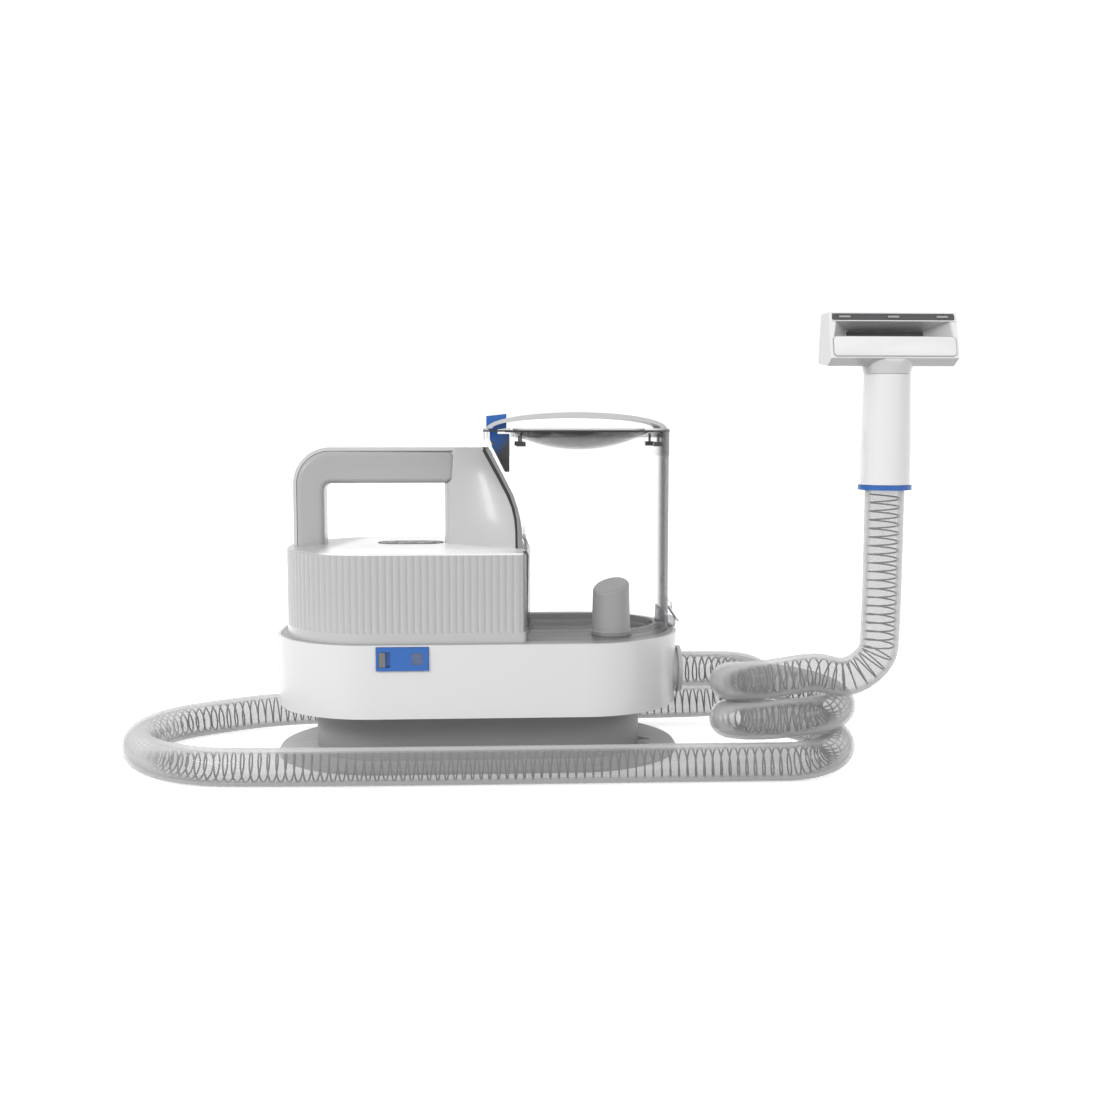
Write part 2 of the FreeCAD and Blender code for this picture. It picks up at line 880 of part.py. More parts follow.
def outline_points(x, y, left, right, pitch):
    """Points spaced evenly round a rectangle with rounded ends, and the outward direction at each."""
    spots = []
    long, deep = float(x[1] - x[0]), float(y[1] - y[0])
    left, right = float(left), float(right)
    stretches = [
        ("line", Vector(x[0] + left, y[0], 0), Vector(1, 0, 0), long - left - right),
        ("arc", Vector(x[1] - right, y[0] + right, 0), -90, right),
        ("line", Vector(x[1], y[0] + right, 0), Vector(0, 1, 0), deep - 2 * right),
        ("arc", Vector(x[1] - right, y[1] - right, 0), 0, right),
        ("line", Vector(x[1] - right, y[1], 0), Vector(-1, 0, 0), long - left - right),
        ("arc", Vector(x[0] + left, y[1] - left, 0), 90, left),
        ("line", Vector(x[0], y[1] - left, 0), Vector(0, -1, 0), deep - 2 * left),
        ("arc", Vector(x[0] + left, y[0] + left, 0), 180, left),
    ]
    for kind, base, way, extent in stretches:
        length = extent if kind == "line" else math.pi / 2 * extent
        steps = max(1, round(length / pitch))
        for step in range(steps):
            if kind == "line":
                out = Vector(way.y, -way.x, 0)
                spots.append((base + way * (length * step / steps), out))
            else:
                angle = math.radians(way + 90 * step / steps)
                out = Vector(math.cos(angle), math.sin(angle), 0)
                spots.append((base + out * extent, out))
    return spots


def make_motor_cover():
    spots = outline_points(cover_x, cover_y, size.cover_corner, seam_corner, float(size.flute_pitch))
    flutes = []
    low = band_top + size.flute_foot
    for (start, out), (end, out_next) in zip(spots, spots[1:] + spots[:1]):
        away = (out + out_next).normalize()
        middle = (start + end) / 2 + away * float(size.flute_depth)
        lift = Vector(0, 0, low)
        flutes.append(Part.Arc(start + lift, middle + lift, end + lift).toShape())
    ribbed = coded("fluted_wall", Part.Face(Part.Wire(flutes)).extrude(Vector(0, 0, cover_top - low)))
    band = new_body("flute_foot_band")
    slab(band, "Pad", grown(cover_x, size.flute_depth), grown(cover_y, size.flute_depth), (band_top, low),
         size.cover_corner + size.flute_depth, seam_corner)
    core = new_body("cover_core")
    slab(core, "Pad", grown(cover_x, -size.wall), grown(cover_y, -size.wall), (band_top - 1, cover_top + 1),
         size.cover_corner - size.wall, seam_corner - size.wall)
    return cut("motor_cover", fuse("cover_outside", ribbed, band), core)


button_places = [(size.panel_x + step * size.button_spacing, middle_line) for step in (-1, 0, 1)]


def make_top_cover():
    body = new_body("top_cover")
    rim_top = cover_top + size.crown_rim
    slab(body, "Pad", cover_x, cover_y, (cover_top, rim_top), size.cover_corner, seam_corner)
    rim = sketch_in(body, "XY_Plane", (cover_x[0], cover_y[0], rim_top))
    rounded(rim, cover_x[1] - cover_x[0], cover_y[1] - cover_y[0], size.cover_corner, seam_corner)
    inset = size.crown_inset
    top = sketch_in(body, "XY_Plane", (cover_x[0] + inset, cover_y[0] + inset, crown))
    rounded(top, cover_x[1] - cover_x[0] - inset - 1, cover_y[1] - cover_y[0] - 2 * inset,
            size.cover_corner - inset,
            seam_corner - 1)
    loft(body, "AdditiveLoft", rim, top)
    panel = size.panel_width / 2
    slab(body, "Pocket", (size.panel_x - size.panel_length / 2 - size.fit_gap,
                          size.panel_x + size.panel_length / 2 + size.fit_gap),
         (-panel - size.fit_gap, panel + size.fit_gap), (crown - size.panel_thick, crown),
         panel + size.fit_gap - 0.1, panel + size.fit_gap - 0.1)
    holes(body, "Pocket", button_places, size.stem_radius + size.fit_gap, (cover_top, crown))
    air = size.air_radius + size.air_wall + size.fit_gap
    holes(body, "Pocket", [(middle_line, middle_line)], air, (cover_top, crown))
    return body


def make_panel():
    body = new_body("control_panel")
    half = size.panel_width / 2
    slab(body, "Pad", (size.panel_x - size.panel_length / 2, size.panel_x + size.panel_length / 2),
         (-half, half),
         (crown - size.panel_thick, crown), half - 0.1, half - 0.1)
    holes(body, "Pocket", button_places, size.button_radius + size.fit_gap,
          (crown - size.panel_thick, crown))
    return body


def make_button(name, x):
    shelf = crown - size.panel_thick + size.button_travel + 0.1
    cap = rod(f"{name}_cap", x, 0, shelf, size.button_radius, crown + size.button_proud - shelf)
    stem = rod(f"{name}_stem", x, 0, cover_top - 0.5, size.stem_radius, shelf - cover_top + 1)
    return fuse(name, cap, stem)


top_cover = make_top_cover()
keep(make_motor_cover(), top_cover, make_panel())
for button_name, (button_x, _) in zip(("button_power", "button_spray", "button_suction"), button_places):
    keep(make_button(button_name, button_x))


# Tower, carry handle and trim
def lean_face(outward, low, high, reach):
    """The region left of the leaning face, from a low level to a high one, as a face in X and Z at y = 0."""
    turn = math.radians(size.lean_angle)
    radius = float(size.lean_radius + outward)
    middle = Vector(size.tower_right - size.lean_radius, 0, size.lean_start)
    foot = middle + Vector(radius, 0, 0)
    bend = middle + Vector(radius * math.cos(turn / 2), 0, radius * math.sin(turn / 2))
    knee = middle + Vector(radius * math.cos(turn), 0, radius * math.sin(turn))
    rise = high - knee.z
    head = knee + Vector(-rise * math.tan(turn), 0, rise)
    start = Vector(foot.x, 0, low)
    corners = [Vector(head.x - reach, 0, high), Vector(head.x - reach, 0, low)]
    edges = [
        Part.LineSegment(start, foot).toShape(),
        Part.Arc(foot, bend, knee).toShape(),
        Part.LineSegment(knee, head).toShape(),
        Part.LineSegment(head, corners[0]).toShape(),
        Part.LineSegment(corners[0], corners[1]).toShape(),
        Part.LineSegment(corners[1], start).toShape(),
    ]
    return Part.Face(Part.Wire(edges))


def lean_solid(name, outward, low, high, half, reach=200.0):
    face = lean_face(float(outward), float(low), float(high), reach)
    face.translate(Vector(0, -float(half), 0))
    return coded(name, face.extrude(Vector(0, 2 * float(half), 0)))


def wedge(body, z, x, left_half, right_half, corner):
    """An outline that widens from its left end to its right one, with rounded corners at the left."""
    sketch = sketch_in(body, "XY_Plane", (0, 0, z))
    low, high = -left_half + corner, left_half - corner
    sketch.addGeometry(Part.LineSegment(Vector(x[0], high, 0), Vector(x[0], low, 0)), False)
    sketch.addGeometry(Part.LineSegment(Vector(x[0] + corner, -left_half, 0), Vector(x[1], -right_half, 0)),
                       False)
    sketch.addGeometry(Part.LineSegment(Vector(x[1], -right_half, 0), Vector(x[1], right_half, 0)), False)
    sketch.addGeometry(Part.LineSegment(Vector(x[1], right_half, 0), Vector(x[0] + corner, left_half, 0)),
                       False)
    for level, begins in ((low, 180), (high, 90)):
        circle = Part.Circle(Vector(x[0] + corner, level, 0), Vector(0, 0, 1), float(corner))
        arc = Part.ArcOfCircle(circle, math.radians(begins), math.radians(begins + 90))
        sketch.addGeometry(arc, False)
    for first, second in ((0, 4), (4, 1), (3, 5), (5, 0)):
        sketch.addConstraint(Sketcher.Constraint("Tangent", first, 2, second, 1))
    for first, second in ((1, 2), (2, 3)):
        sketch.addConstraint(Sketcher.Constraint("Coincident", first, 2, second, 1))
    hold(sketch, "low_x", x[0] + corner, "DistanceX", -1, 1, 4, 3)
    hold(sketch, "low_y", low, "DistanceY", -1, 1, 4, 3)
    hold(sketch, "high_x", x[0] + corner, "DistanceX", -1, 1, 5, 3)
    hold(sketch, "high_y", high, "DistanceY", -1, 1, 5, 3)
    hold(sketch, "low_corner", corner, "Radius", 4)
    hold(sketch, "high_corner", corner, "Radius", 5)
    hold(sketch, "right_x", x[1], "DistanceX", -1, 1, 1, 2)
    hold(sketch, "right_y", -right_half, "DistanceY", -1, 1, 1, 2)
    hold(sketch, "far_x", x[1], "DistanceX", -1, 1, 3, 1)
    hold(sketch, "far_y", right_half, "DistanceY", -1, 1, 3, 1)
    return sketch


def make_handle():
    body = new_body("handle_loop")
    left = size.handle_left + size.trim_thick
    top = size.handle_top - size.trim_thick
    low = cover_top
    corners = [(left, low), (post_right, low), (post_right, bar_bottom), (size.handle_right, bar_bottom),
               (size.handle_right, top), (left, top)]
    side_profile(body, "Pad", corners, 2 * size.handle_half_width)

    def across_y(edge, x, z):
        middle = edge.CenterOfMass
        straight = abs(edge.Vertexes[0].Point.y - edge.Vertexes[-1].Point.y) > size.handle_half_width
        return straight and abs(middle.x - x) < 0.1 and abs(middle.z - z) < 0.1

    round_edges(body, size.handle_outer_radius - size.trim_thick, lambda edge: across_y(edge, left, top))
    round_edges(body, size.handle_inner_radius, lambda edge: across_y(edge, post_right, bar_bottom))

    def along_loop(edge):
        ends = [vertex.Point for vertex in edge.Vertexes]
        side = all(abs(abs(point.y) - size.handle_half_width) < 0.01 for point in ends)
        at_foot = all(abs(point.z - low) < 0.01 for point in ends)
        at_tower = all(abs(point.x - size.handle_right) < 0.01 for point in ends)
        return side and not at_foot and not at_tower

    round_edges(body, size.handle_edge - 2, along_loop)
    foot = new_body("handle_foot")
    shoulder = cover_top + size.handle_foot_rise
    low_outline = sketch_in(foot, "XY_Plane", (left, -size.handle_foot_half, low))
    rounded(low_outline, post_right - left, 2 * size.handle_foot_half, size.handle_edge, size.handle_edge)
    high_outline = sketch_in(foot, "XY_Plane", (left, -size.handle_half_width, shoulder))
    rounded(high_outline, post_right - left, 2 * size.handle_half_width, size.handle_edge, size.handle_edge)
    loft(foot, "AdditiveLoft", low_outline, high_outline)
    rim = new_body("handle_foot_limit")
    inset = 8
    slab(rim, "Pad", grown(cover_x, -inset), grown(cover_y, -inset), (cover_top, size.handle_top),
         size.cover_corner - inset, seam_corner)
    return cut("carry_handle", fuse("handle_whole", body, common("handle_foot_cut", foot, rim)), top_cover)


def make_trim():
    body = new_body("trim_strip")
    left, top = size.handle_left, size.handle_top
    inner_left, inner_top = left + size.trim_thick, top - size.trim_thick
    corners = [(left, cover_top), (inner_left, cover_top), (inner_left, inner_top),
               (size.handle_right, inner_top),
               (size.handle_right, top), (left, top)]
    side_profile(body, "Pad", corners, 2 * size.trim_half_width)

    def corner_edge(edge, x, z):
        middle = edge.CenterOfMass
        return edge.Length > size.trim_half_width and abs(middle.x - x) < 0.1 and abs(middle.z - z) < 0.1

    round_edges(body, size.handle_outer_radius, lambda edge: corner_edge(edge, left, top))
    round_edges(body, size.handle_outer_radius - size.trim_thick,
                lambda edge: corner_edge(edge, inner_left, inner_top))
    return cut("handle_trim", body, top_cover)


def make_tower(handle, trim):
    outside = new_body("tower_outside")
    x = (size.tower_left, size.tower_right + 1)
    low = wedge(outside, cover_top, x, size.tower_left_half, size.tower_right_half, size.tower_edge)
    high = wedge(outside, size.handle_top, x, size.handle_half_width + 1, size.tower_top_half,
                 size.tower_edge)
    loft(outside, "AdditiveLoft", low, high)
    inside = new_body("tower_inside")
    room = (size.tower_left + size.wall, size.tower_right - size.wall)
    room_corner = size.tower_edge - size.wall
    low_room = wedge(inside, cover_top - 1, room, size.tower_left_half - size.wall,
                     size.tower_right_half - 3 * size.wall, room_corner)
    high_room = wedge(inside, bar_bottom - size.wall, room, size.handle_half_width - size.wall,
                      size.tower_top_half, room_corner)
    loft(inside, "AdditiveLoft", low_room, high_room)
    face = lean_solid("tower_face", 0, cover_top, size.handle_top, 2 * size.tower_right_half)
    room_face = lean_solid("tower_room_face", -size.wall, cover_top - 1, size.handle_top,
                           2 * size.tower_right_half)
    shell = cut("tower_shell", common("tower_leaning", outside, face),
                common("tower_room", inside, room_face))
    corner = new_body("tower_corner")
    side_profile(corner, "Pad", [(size.tower_left - 1, size.handle_top - size.tower_chamfer),
                                 (size.tower_left + size.tower_chamfer, size.handle_top + 1),
                                 (size.tower_left - 1, size.handle_top + 1)], 4 * size.tower_top_half)
    outlet = rod("outlet_cut", float(size.tower_left) + 30, 0, outlet_z, outlet_radius, 60, "x")
    return cut("tank_tower", shell, corner, handle, trim, top_cover, outlet)


outlet_radius = size.outlet_radius
outlet_z = size.cage_bottom + size.outlet_rise


def make_tower_seal():
    outer = lean_solid("seal_outer", size.seal_thick, size.lean_start - 6, size.handle_top - 4,
                       size.seal_half_width)
    inner = lean_solid("seal_inner", 0, size.lean_start - 7, size.handle_top, size.seal_half_width + 1,
                       220.0)
    outlet = rod("seal_outlet_cut", 0, 0, outlet_z, outlet_radius, 60, "x")
    strip = cut("seal_strip", outer, inner, outlet)
    window_half = size.seal_half_width - 4
    middle = block("seal_window", (-20, 80), (-window_half, window_half), (size.lean_start, outlet_z - 14))
    return cut("tower_seal", strip, middle)


handle = make_handle()
trim = make_trim()
keep(handle, trim, make_tower(handle, trim), make_tower_seal())


# Clear waste tank
tab_low = size.tab_pivot_z - 6
tab_neck = size.tab_left + 10


def make_tab_pin():
    half = size.cage_half
    return rod("tab_pin", size.tab_pivot_x, -half, size.tab_pivot_z, size.tab_pin_radius, 2 * half, "y")


def tank_shape(name, inset, low, high):
    """The tank's outer or inner form: a rounded block whose left face steps and leans like the tower."""
    body = new_body(name)
    x = (size.tank_rim_left + inset, size.tank_right - inset)
    y = (-size.tank_half_depth + inset, size.tank_half_depth - inset)
    slab(body, "Pad", x, y, (low, high), size.wall + 9 - inset, size.tank_corner - inset)
    gap = float(size.tank_gap) + float(inset)
    lean = lean_solid(f"{name}_lean", gap, float(low) - 1, float(size.tank_rim) + 20,
                      2 * size.tank_half_depth)
    foot = block(f"{name}_foot", (-60, size.tank_left + inset),
                 (-size.tank_half_depth * 2, size.tank_half_depth * 2),
                 (low - 1, crown + 2 * size.fit_gap + inset))
    return cut(f"{name}_form", body, lean, foot)


def make_tank():
    outer = tank_shape("tank_outer", middle_line, tank_bottom, size.tank_rim)
    inner = tank_shape("tank_inner", size.wall, tank_bottom + size.wall, size.tank_rim + 5)
    riser_hole = rod("riser_hole", size.riser_x, size.riser_y, tank_bottom - 1, size.duct_radius,
                     3 * size.wall)
    outlet = rod("tank_outlet", 0, 0, outlet_z, outlet_radius, size.cage_right, "x")
    skirt = new_body("tank_skirt")
    gap = size.tray_wall + 2 * size.fit_gap + 0.5
    slab(skirt, "Pad", grown(tray_x, -gap), grown(tray_y, -gap), (tank_bottom - 5, tank_bottom + 1),
         size.wall,
         size.tray_corner - gap)
    inside = gap + size.wall
    slab(skirt, "Pocket", grown(tray_x, -inside), grown(tray_y, -inside),
         (tank_bottom - 5, tank_bottom + 1), size.wall,
         size.tray_corner - inside)
    shell = cut("tank_shell", outer, inner)
    whole = fuse("tank_whole", shell, common("tank_skirt_low", skirt, block(
        "skirt_limit", (0, 200), (-100, 100), (tank_bottom - 5, tank_bottom + size.wall / 2))))
    return cut("waste_tank", whole, riser_hole, outlet), inner


def riser_top(name, low, drop):
    """Everything above the riser's slanted top, which faces the front left corner."""
    beyond = doc.addObject("Part::Box", name)
    for side in ("Length", "Width", "Height"):
        bind(beyond, side, 4 * riser_radius)
    turn = FreeCAD.Rotation(Vector(0, 0, 1), -float(size.riser_turn))
    turn = turn * FreeCAD.Rotation(Vector(1, 0, 0), float(size.riser_tilt))
    beyond.Placement.Rotation = turn
    reach = turn.multVec(Vector(-2 * riser_radius, -2 * riser_radius, 0))
    sink = math.tan(math.radians(size.riser_tilt)) * riser_radius
    place(beyond, size.riser_x + reach.x, size.riser_y + reach.y,
          low + size.riser_height - sink - drop + reach.z)
    return beyond


def make_riser():
    """A short standing pipe with a closed slanted top and its mouth on the far side, away from the front."""
    low = tank_bottom + size.wall
    outer = cone("riser_outer", size.riser_x, size.riser_y, low, riser_radius, riser_radius - 1,
                 size.riser_height)
    inner = cone("riser_inner", size.riser_x, size.riser_y, low - 1, size.duct_radius, size.duct_radius - 1,
                 size.riser_height)
    room = cut("riser_room", inner, riser_top("riser_inner_top", low, size.riser_cap))
    mouth_top = low + size.riser_height - size.riser_mouth
    mouth = block("riser_mouth", (size.riser_x - size.riser_mouth, size.riser_x + size.riser_mouth),
                  (size.riser_y, size.riser_y + riser_radius + 1),
                  (mouth_top - 1.5 * size.riser_mouth, mouth_top))
    capped = cut("riser_capped", outer, riser_top("riser_outer_top", low, 0))
    doc.recompute()
    soft = doc.addObject("Part::Fillet", "riser_soft")
    soft.Base = capped
    radius = float(size.riser_soft)
    soft.Edges = [
        (index, radius, radius)
        for index, edge in enumerate(capped.Shape.Edges, start=1)
        if len(edge.Vertexes) == 1 and edge.BoundBox.ZMin > low + 1
    ]
    return cut("inlet_riser", soft, room, mouth)


def make_cage(inner):
    outside = block("cage_outside", (size.cage_left, size.cage_right), (-size.cage_half, size.cage_half),
                    (size.cage_bottom, size.cage_top))
    bay = size.tab_half + size.fit_gap
    corner = block("cage_corner", (size.cage_left - 1, tab_neck + 2), (-bay, bay),
                   (tab_low - 2, size.cage_top + 1))
    well_radius = size.float_radius + size.float_gap
    middle_x = size.cage_right - size.cage_wall - well_radius
    seat = size.cage_bottom + size.float_rise
    well_top = seat + 2 * size.float_radius + size.float_travel + 1
    well = rod("float_well", middle_x, 0, seat, well_radius, well_top - seat)
    drain = rod("float_drain", middle_x, 0, outlet_z, size.float_seat, seat - outlet_z + 1)
    vent = rod("float_vent", middle_x, 0, well_top - 1, size.float_seat, size.cage_top - well_top + 2)
    port = rod("cage_port", size.cage_left, 0, outlet_z, outlet_radius, middle_x - size.cage_left, "x")
    body = common("cage_body", cut("cage_block", outside, corner), inner)
    return cut("float_cage", body, well, drain, vent, port, tab_pin), middle_x


tank, tank_inner_form = make_tank()
tab_pin = make_tab_pin()
cage, float_x = make_cage(tank_inner_form)
float_low = size.cage_bottom + size.float_rise + size.float_radius + 0.2


def make_float():
    return ball("float_ball", float_x, 0, float_low, size.float_radius)


hook_z = band_top + size.hook_rise


def make_hook():
    lug_half = size.hook_half - 2
    lug = block("hook_lug", (size.tank_right - 1, size.tank_right + size.hook_deep), (-lug_half, lug_half),
                (hook_z - 5, hook_z + 5))
    edge = block("hook_edge", (size.tank_right - 1, size.tank_right + 1.5), (-lug_half, lug_half),
                 (hook_z + 5, hook_z + 9))
    bore = rod("hook_bore", size.tank_right + size.hook_pin_out, -size.hook_half, hook_z,
               size.bail_radius + size.shaft_gap, 2 * size.hook_half, "y")
    tank_outside = doc.getObject("tank_outer_form")
    return cut("tank_hook", cut("hook_body", fuse("hook_solid", lug, edge), tank_outside), bore)


def make_bail():
    """A bent wire that swings on the hook: a pin, two arms and a cross bar."""
    x = float(size.tank_right + size.hook_pin_out)
    half = float(size.hook_half) - 0.5
    z = float(hook_z)
    reach = Vector(size.bail_reach, 0, -size.bail_drop)
    points = [
        Vector(x, -half + 4, z),
        Vector(x, -half, z),
        Vector(x, -half, z) + reach,
        Vector(x, half, z) + reach,
        Vector(x, half, z),
        Vector(x, half - 4, z),
    ]
    bend_share = 0.2
    path = rounded_path(points, bend_share)
    ring = Part.Wire([Part.Circle(points[0], Vector(0, -1, 0), float(size.bail_radius)).toShape()])
    return coded("hook_bail", path.makePipeShell([ring], True, False))


keep(tank, make_riser(), cage, make_float(), make_hook(), make_bail())

# Lid with its arched strap, dish, clips and seal
lid_x = (size.tank_rim_left, size.tank_right)
lid_y = (-size.tank_half_depth, size.tank_half_depth)
lid_corner = size.wall + 9
plug = size.wall + size.fit_gap


def make_lid():
    body = new_body("lid_plate")
    slab(body, "Pad", lid_x, lid_y, (size.tank_rim, lid_top), lid_corner, size.tank_corner)
    slab(body, "Pad", (size.notch_right + size.wall, size.tank_right - plug), grown(lid_y, -plug),
         (size.tank_rim - size.lid_skirt, size.tank_rim), size.wall, size.tank_corner - plug)
    inner = plug + size.skirt_wall
    slab(body, "Pocket", (size.notch_right + size.wall + size.skirt_wall, size.tank_right - inner),
         grown(lid_y, -inner),
         (size.tank_rim - size.lid_skirt, size.tank_rim), size.wall, size.tank_corner - inner)
    notch = block("lid_notch", (size.tank_rim_left - 1, size.notch_right),
                  (-size.notch_half, size.notch_half),
                  (size.tank_rim - 1, lid_top + 1))
    opening = rod("lid_opening", size.dish_x, 0, size.tank_rim - size.lid_skirt - 1,
                  size.dish_radius - 2 * size.dish_flange, size.lid_skirt + size.lid_thick + 2)
    seat = rod("lid_dish_seat", size.dish_x, 0, size.tank_rim - size.lid_skirt - 1,
               size.dish_radius + size.dish_flange, size.lid_skirt + 1)
    return cut("tank_lid", body, notch, opening, seat)


def make_dish():
    """A shallow bowl under the lid's opening: a slice of a hollow ball with a flat flange round it."""
    radius, sag, rim = size.dish_radius, size.dish_sag, size.tank_rim
    curve = (radius * radius + sag * sag) / (2 * sag)
    middle_z = rim - sag + curve
    outer = ball("dish_outer", size.dish_x, 0, middle_z, curve)
    inner = ball("dish_inner", size.dish_x, 0, middle_z, curve - size.dish_wall)
    slice_limit = rod("dish_slice", size.dish_x, 0, rim - sag - 1, radius + 1, sag + 1)
    notch = block("dish_notch", (size.tank_rim_left - 1, size.notch_right + size.fit_gap),
                  (-size.notch_half - size.fit_gap, size.notch_half + size.fit_gap), (rim - sag - 1, rim + 1))
    bowl = cut("dish_bowl", common("dish_cap", outer, slice_limit), inner)
    flange = rod("dish_flange_disc", size.dish_x, 0, rim - size.dish_wall, radius + size.dish_flange,
                 size.dish_wall)
    bore = rod("dish_flange_bore", size.dish_x, 0, rim - size.dish_wall - 1, radius - 2, size.dish_wall + 2)
    return cut("lid_dish", fuse("dish_solid", bowl, cut("dish_flange_ring", flange, bore)), notch)


def half_ellipse(middle, reach, rise):
    """The upper half of an ellipse in X and Z, from its right end to its left."""
    whole = Part.Ellipse(middle + Vector(reach, 0, 0), middle + Vector(0, 0, rise), middle)
    return Part.ArcOfEllipse(whole, 0, math.pi).toShape()


def make_arch():
    """A strap across the lid, between an outer and an inner half ellipse."""
    reach = float(size.arch_right - size.arch_left) / 2
    middle = Vector(float(size.arch_left) + reach, 0, float(lid_top))
    foot, rise, thick = float(size.arch_foot), float(size.arch_rise), float(size.arch_thick)
    outer = half_ellipse(middle, reach, rise)
    inner = half_ellipse(middle, reach - foot, rise - thick)
    right_foot = Part.LineSegment(inner.Vertexes[0].Point, outer.Vertexes[0].Point).toShape()
    left_foot = Part.LineSegment(outer.Vertexes[1].Point, inner.Vertexes[1].Point).toShape()
    face = Part.Face(Part.Wire([outer, left_foot, inner, right_foot]))
    face.translate(Vector(0, -float(size.arch_half), 0))
    strap = coded("arch_strap", face.extrude(Vector(0, 2 * float(size.arch_half), 0)))
    notch = block("arch_notch", (size.arch_left - 1, size.notch_right), (-size.notch_half, size.notch_half),
                  (lid_top - 1, size.tab_top + 1))
    return cut("lid_arch", strap, notch)


def make_clips(dish):
    clips = []
    rim = size.tank_rim
    toe_top = rim - size.clip_drop + size.clip_toe
    for end, x in enumerate((size.notch_right + size.clip_from_notch,
                             size.tank_right - plug - size.clip_from_edge)):
        stem_x = x + (size.clip_long - size.clip_stem) / 2
        for side in (-1, 1):
            middle = side * (size.notch_half + size.clip_aside)
            y = (middle - size.clip_wide / 2, middle + size.clip_wide / 2)
            name = f"clip_{end}_{side + 1}"
            stem = block(f"{name}_stem", (stem_x, stem_x + size.clip_stem), y,
                         (toe_top, rim - size.clip_top))
            toe = block(f"{name}_toe", (x, x + size.clip_long), y, (rim - size.clip_drop, toe_top))
            clips.append(cut(name, fuse(f"{name}_whole", stem, toe), dish))
    return group("lid_clips", clips)


dish = make_dish()
keep(make_lid(), dish, make_arch(), make_clips(dish))

# Blue release tab on its pin


def make_tab():
    body = new_body("tab_body")
    corners = [(size.tab_left + 7.5, tab_low), (tab_neck, tab_low), (tab_neck, size.tank_rim + 1),
               (size.tab_right, size.tank_rim + 2), (size.tab_right, size.tab_top),
               (size.tab_left, size.tab_top - 2), (size.tab_left, size.tank_rim + 2.5),
               (size.tab_left + 3, size.tank_rim), (size.tab_left + 3.2, size.tab_pivot_z + 2.5)]
    side_profile(body, "Pad", corners, 2 * size.tab_half)
    bore = rod("tab_bore", size.tab_pivot_x, -size.tab_half - 1, size.tab_pivot_z,
               size.tab_pin_radius + size.shaft_gap, 2 * size.tab_half + 2, "y")
    return cut("release_tab", body, bore)


keep(make_tab(), tab_pin)

# Hand tool: ring, grip, trigger, head and what is in the head
tool_axis = (size.tool_x, size.tool_y)
spigot_top = ring_top + size.spigot_length


def make_ring():
    x, y = tool_axis
    ring = rod("ring_disc", x, y, size.ring_bottom, size.ring_radius, size.ring_height)
    spigot = rod("ring_spigot", x, y, ring_top, hose_socket, size.spigot_length)
    socket = rod("ring_socket", x, y, size.ring_bottom - 1, hose_socket, size.ring_height)
    bore = rod("ring_bore", x, y, size.ring_bottom - 1, size.grip_bore,
               size.ring_height + size.spigot_length + 2)
    return cut("cuff_ring", fuse("ring_solid", ring, spigot), socket, bore)


trigger_y = size.tool_y + size.trigger_pin_out
trigger_low = size.trigger_pin_z - size.trigger_length
trigger_pocket = size.grip_bore + 1


def make_trigger_pin():
    half = size.trigger_half + 3
    return rod("trigger_pin", size.tool_x - half, trigger_y, size.trigger_pin_z, size.trigger_pin_radius,
               2 * half, "x")


def make_grip(pin):
    x, y = tool_axis
    low = ring_top + size.fit_gap
    outer = cone("grip_outer", x, y, low, size.grip_bottom_radius, size.grip_top_radius,
                 size.grip_top - low)
    nose = rod("grip_nose", x, y, size.grip_top, size.nose_radius, size.nose_length)
    socket = rod("grip_socket", x, y, low - 1, hose_socket + size.fit_gap,
                 spigot_top - low + 1 + size.fit_gap)
    bore = rod("grip_hole", x, y, low, size.grip_bore, size.grip_top + size.nose_length - low + 1)
    slot = block("trigger_slot",
                 (x - size.trigger_half - size.fit_gap, x + size.trigger_half + size.fit_gap),
                 (y + trigger_pocket, y + 30), (trigger_low - 4, size.trigger_pin_z + 7))
    return cut("tool_grip", fuse("grip_solid", outer, nose), socket, bore, slot, pin)


def make_trigger():
    x, y = tool_axis
    body = new_body("trigger_body")
    inner, outer = y + trigger_pocket + 0.6, y + size.grip_top_radius + 1
    corners = [(inner, size.trigger_pin_z + 5), (outer, size.trigger_pin_z + 5),
               (outer + 4.5, trigger_low + 12),
               (outer + 2.5, trigger_low), (outer - 1.5, trigger_low), (outer - 0.5, trigger_low + 14),
               (inner, size.trigger_pin_z - 6)]
    end_profile(body, "Pad", corners, 2 * size.trigger_half, x)
    bore = rod("trigger_bore", x - 10, trigger_y, size.trigger_pin_z,
               size.trigger_pin_radius + size.shaft_gap, 20, "x")
    return cut("spray_trigger", body, bore)


head_front_low = size.head_low + size.head_front_rise


def head_face(z, raised=0):
    """Depth of the head's sloped front face at a height."""
    share = (z - head_front_low) / (size.head_top - head_front_low)
    return size.tool_y + size.head_front + size.head_lean * share - raised


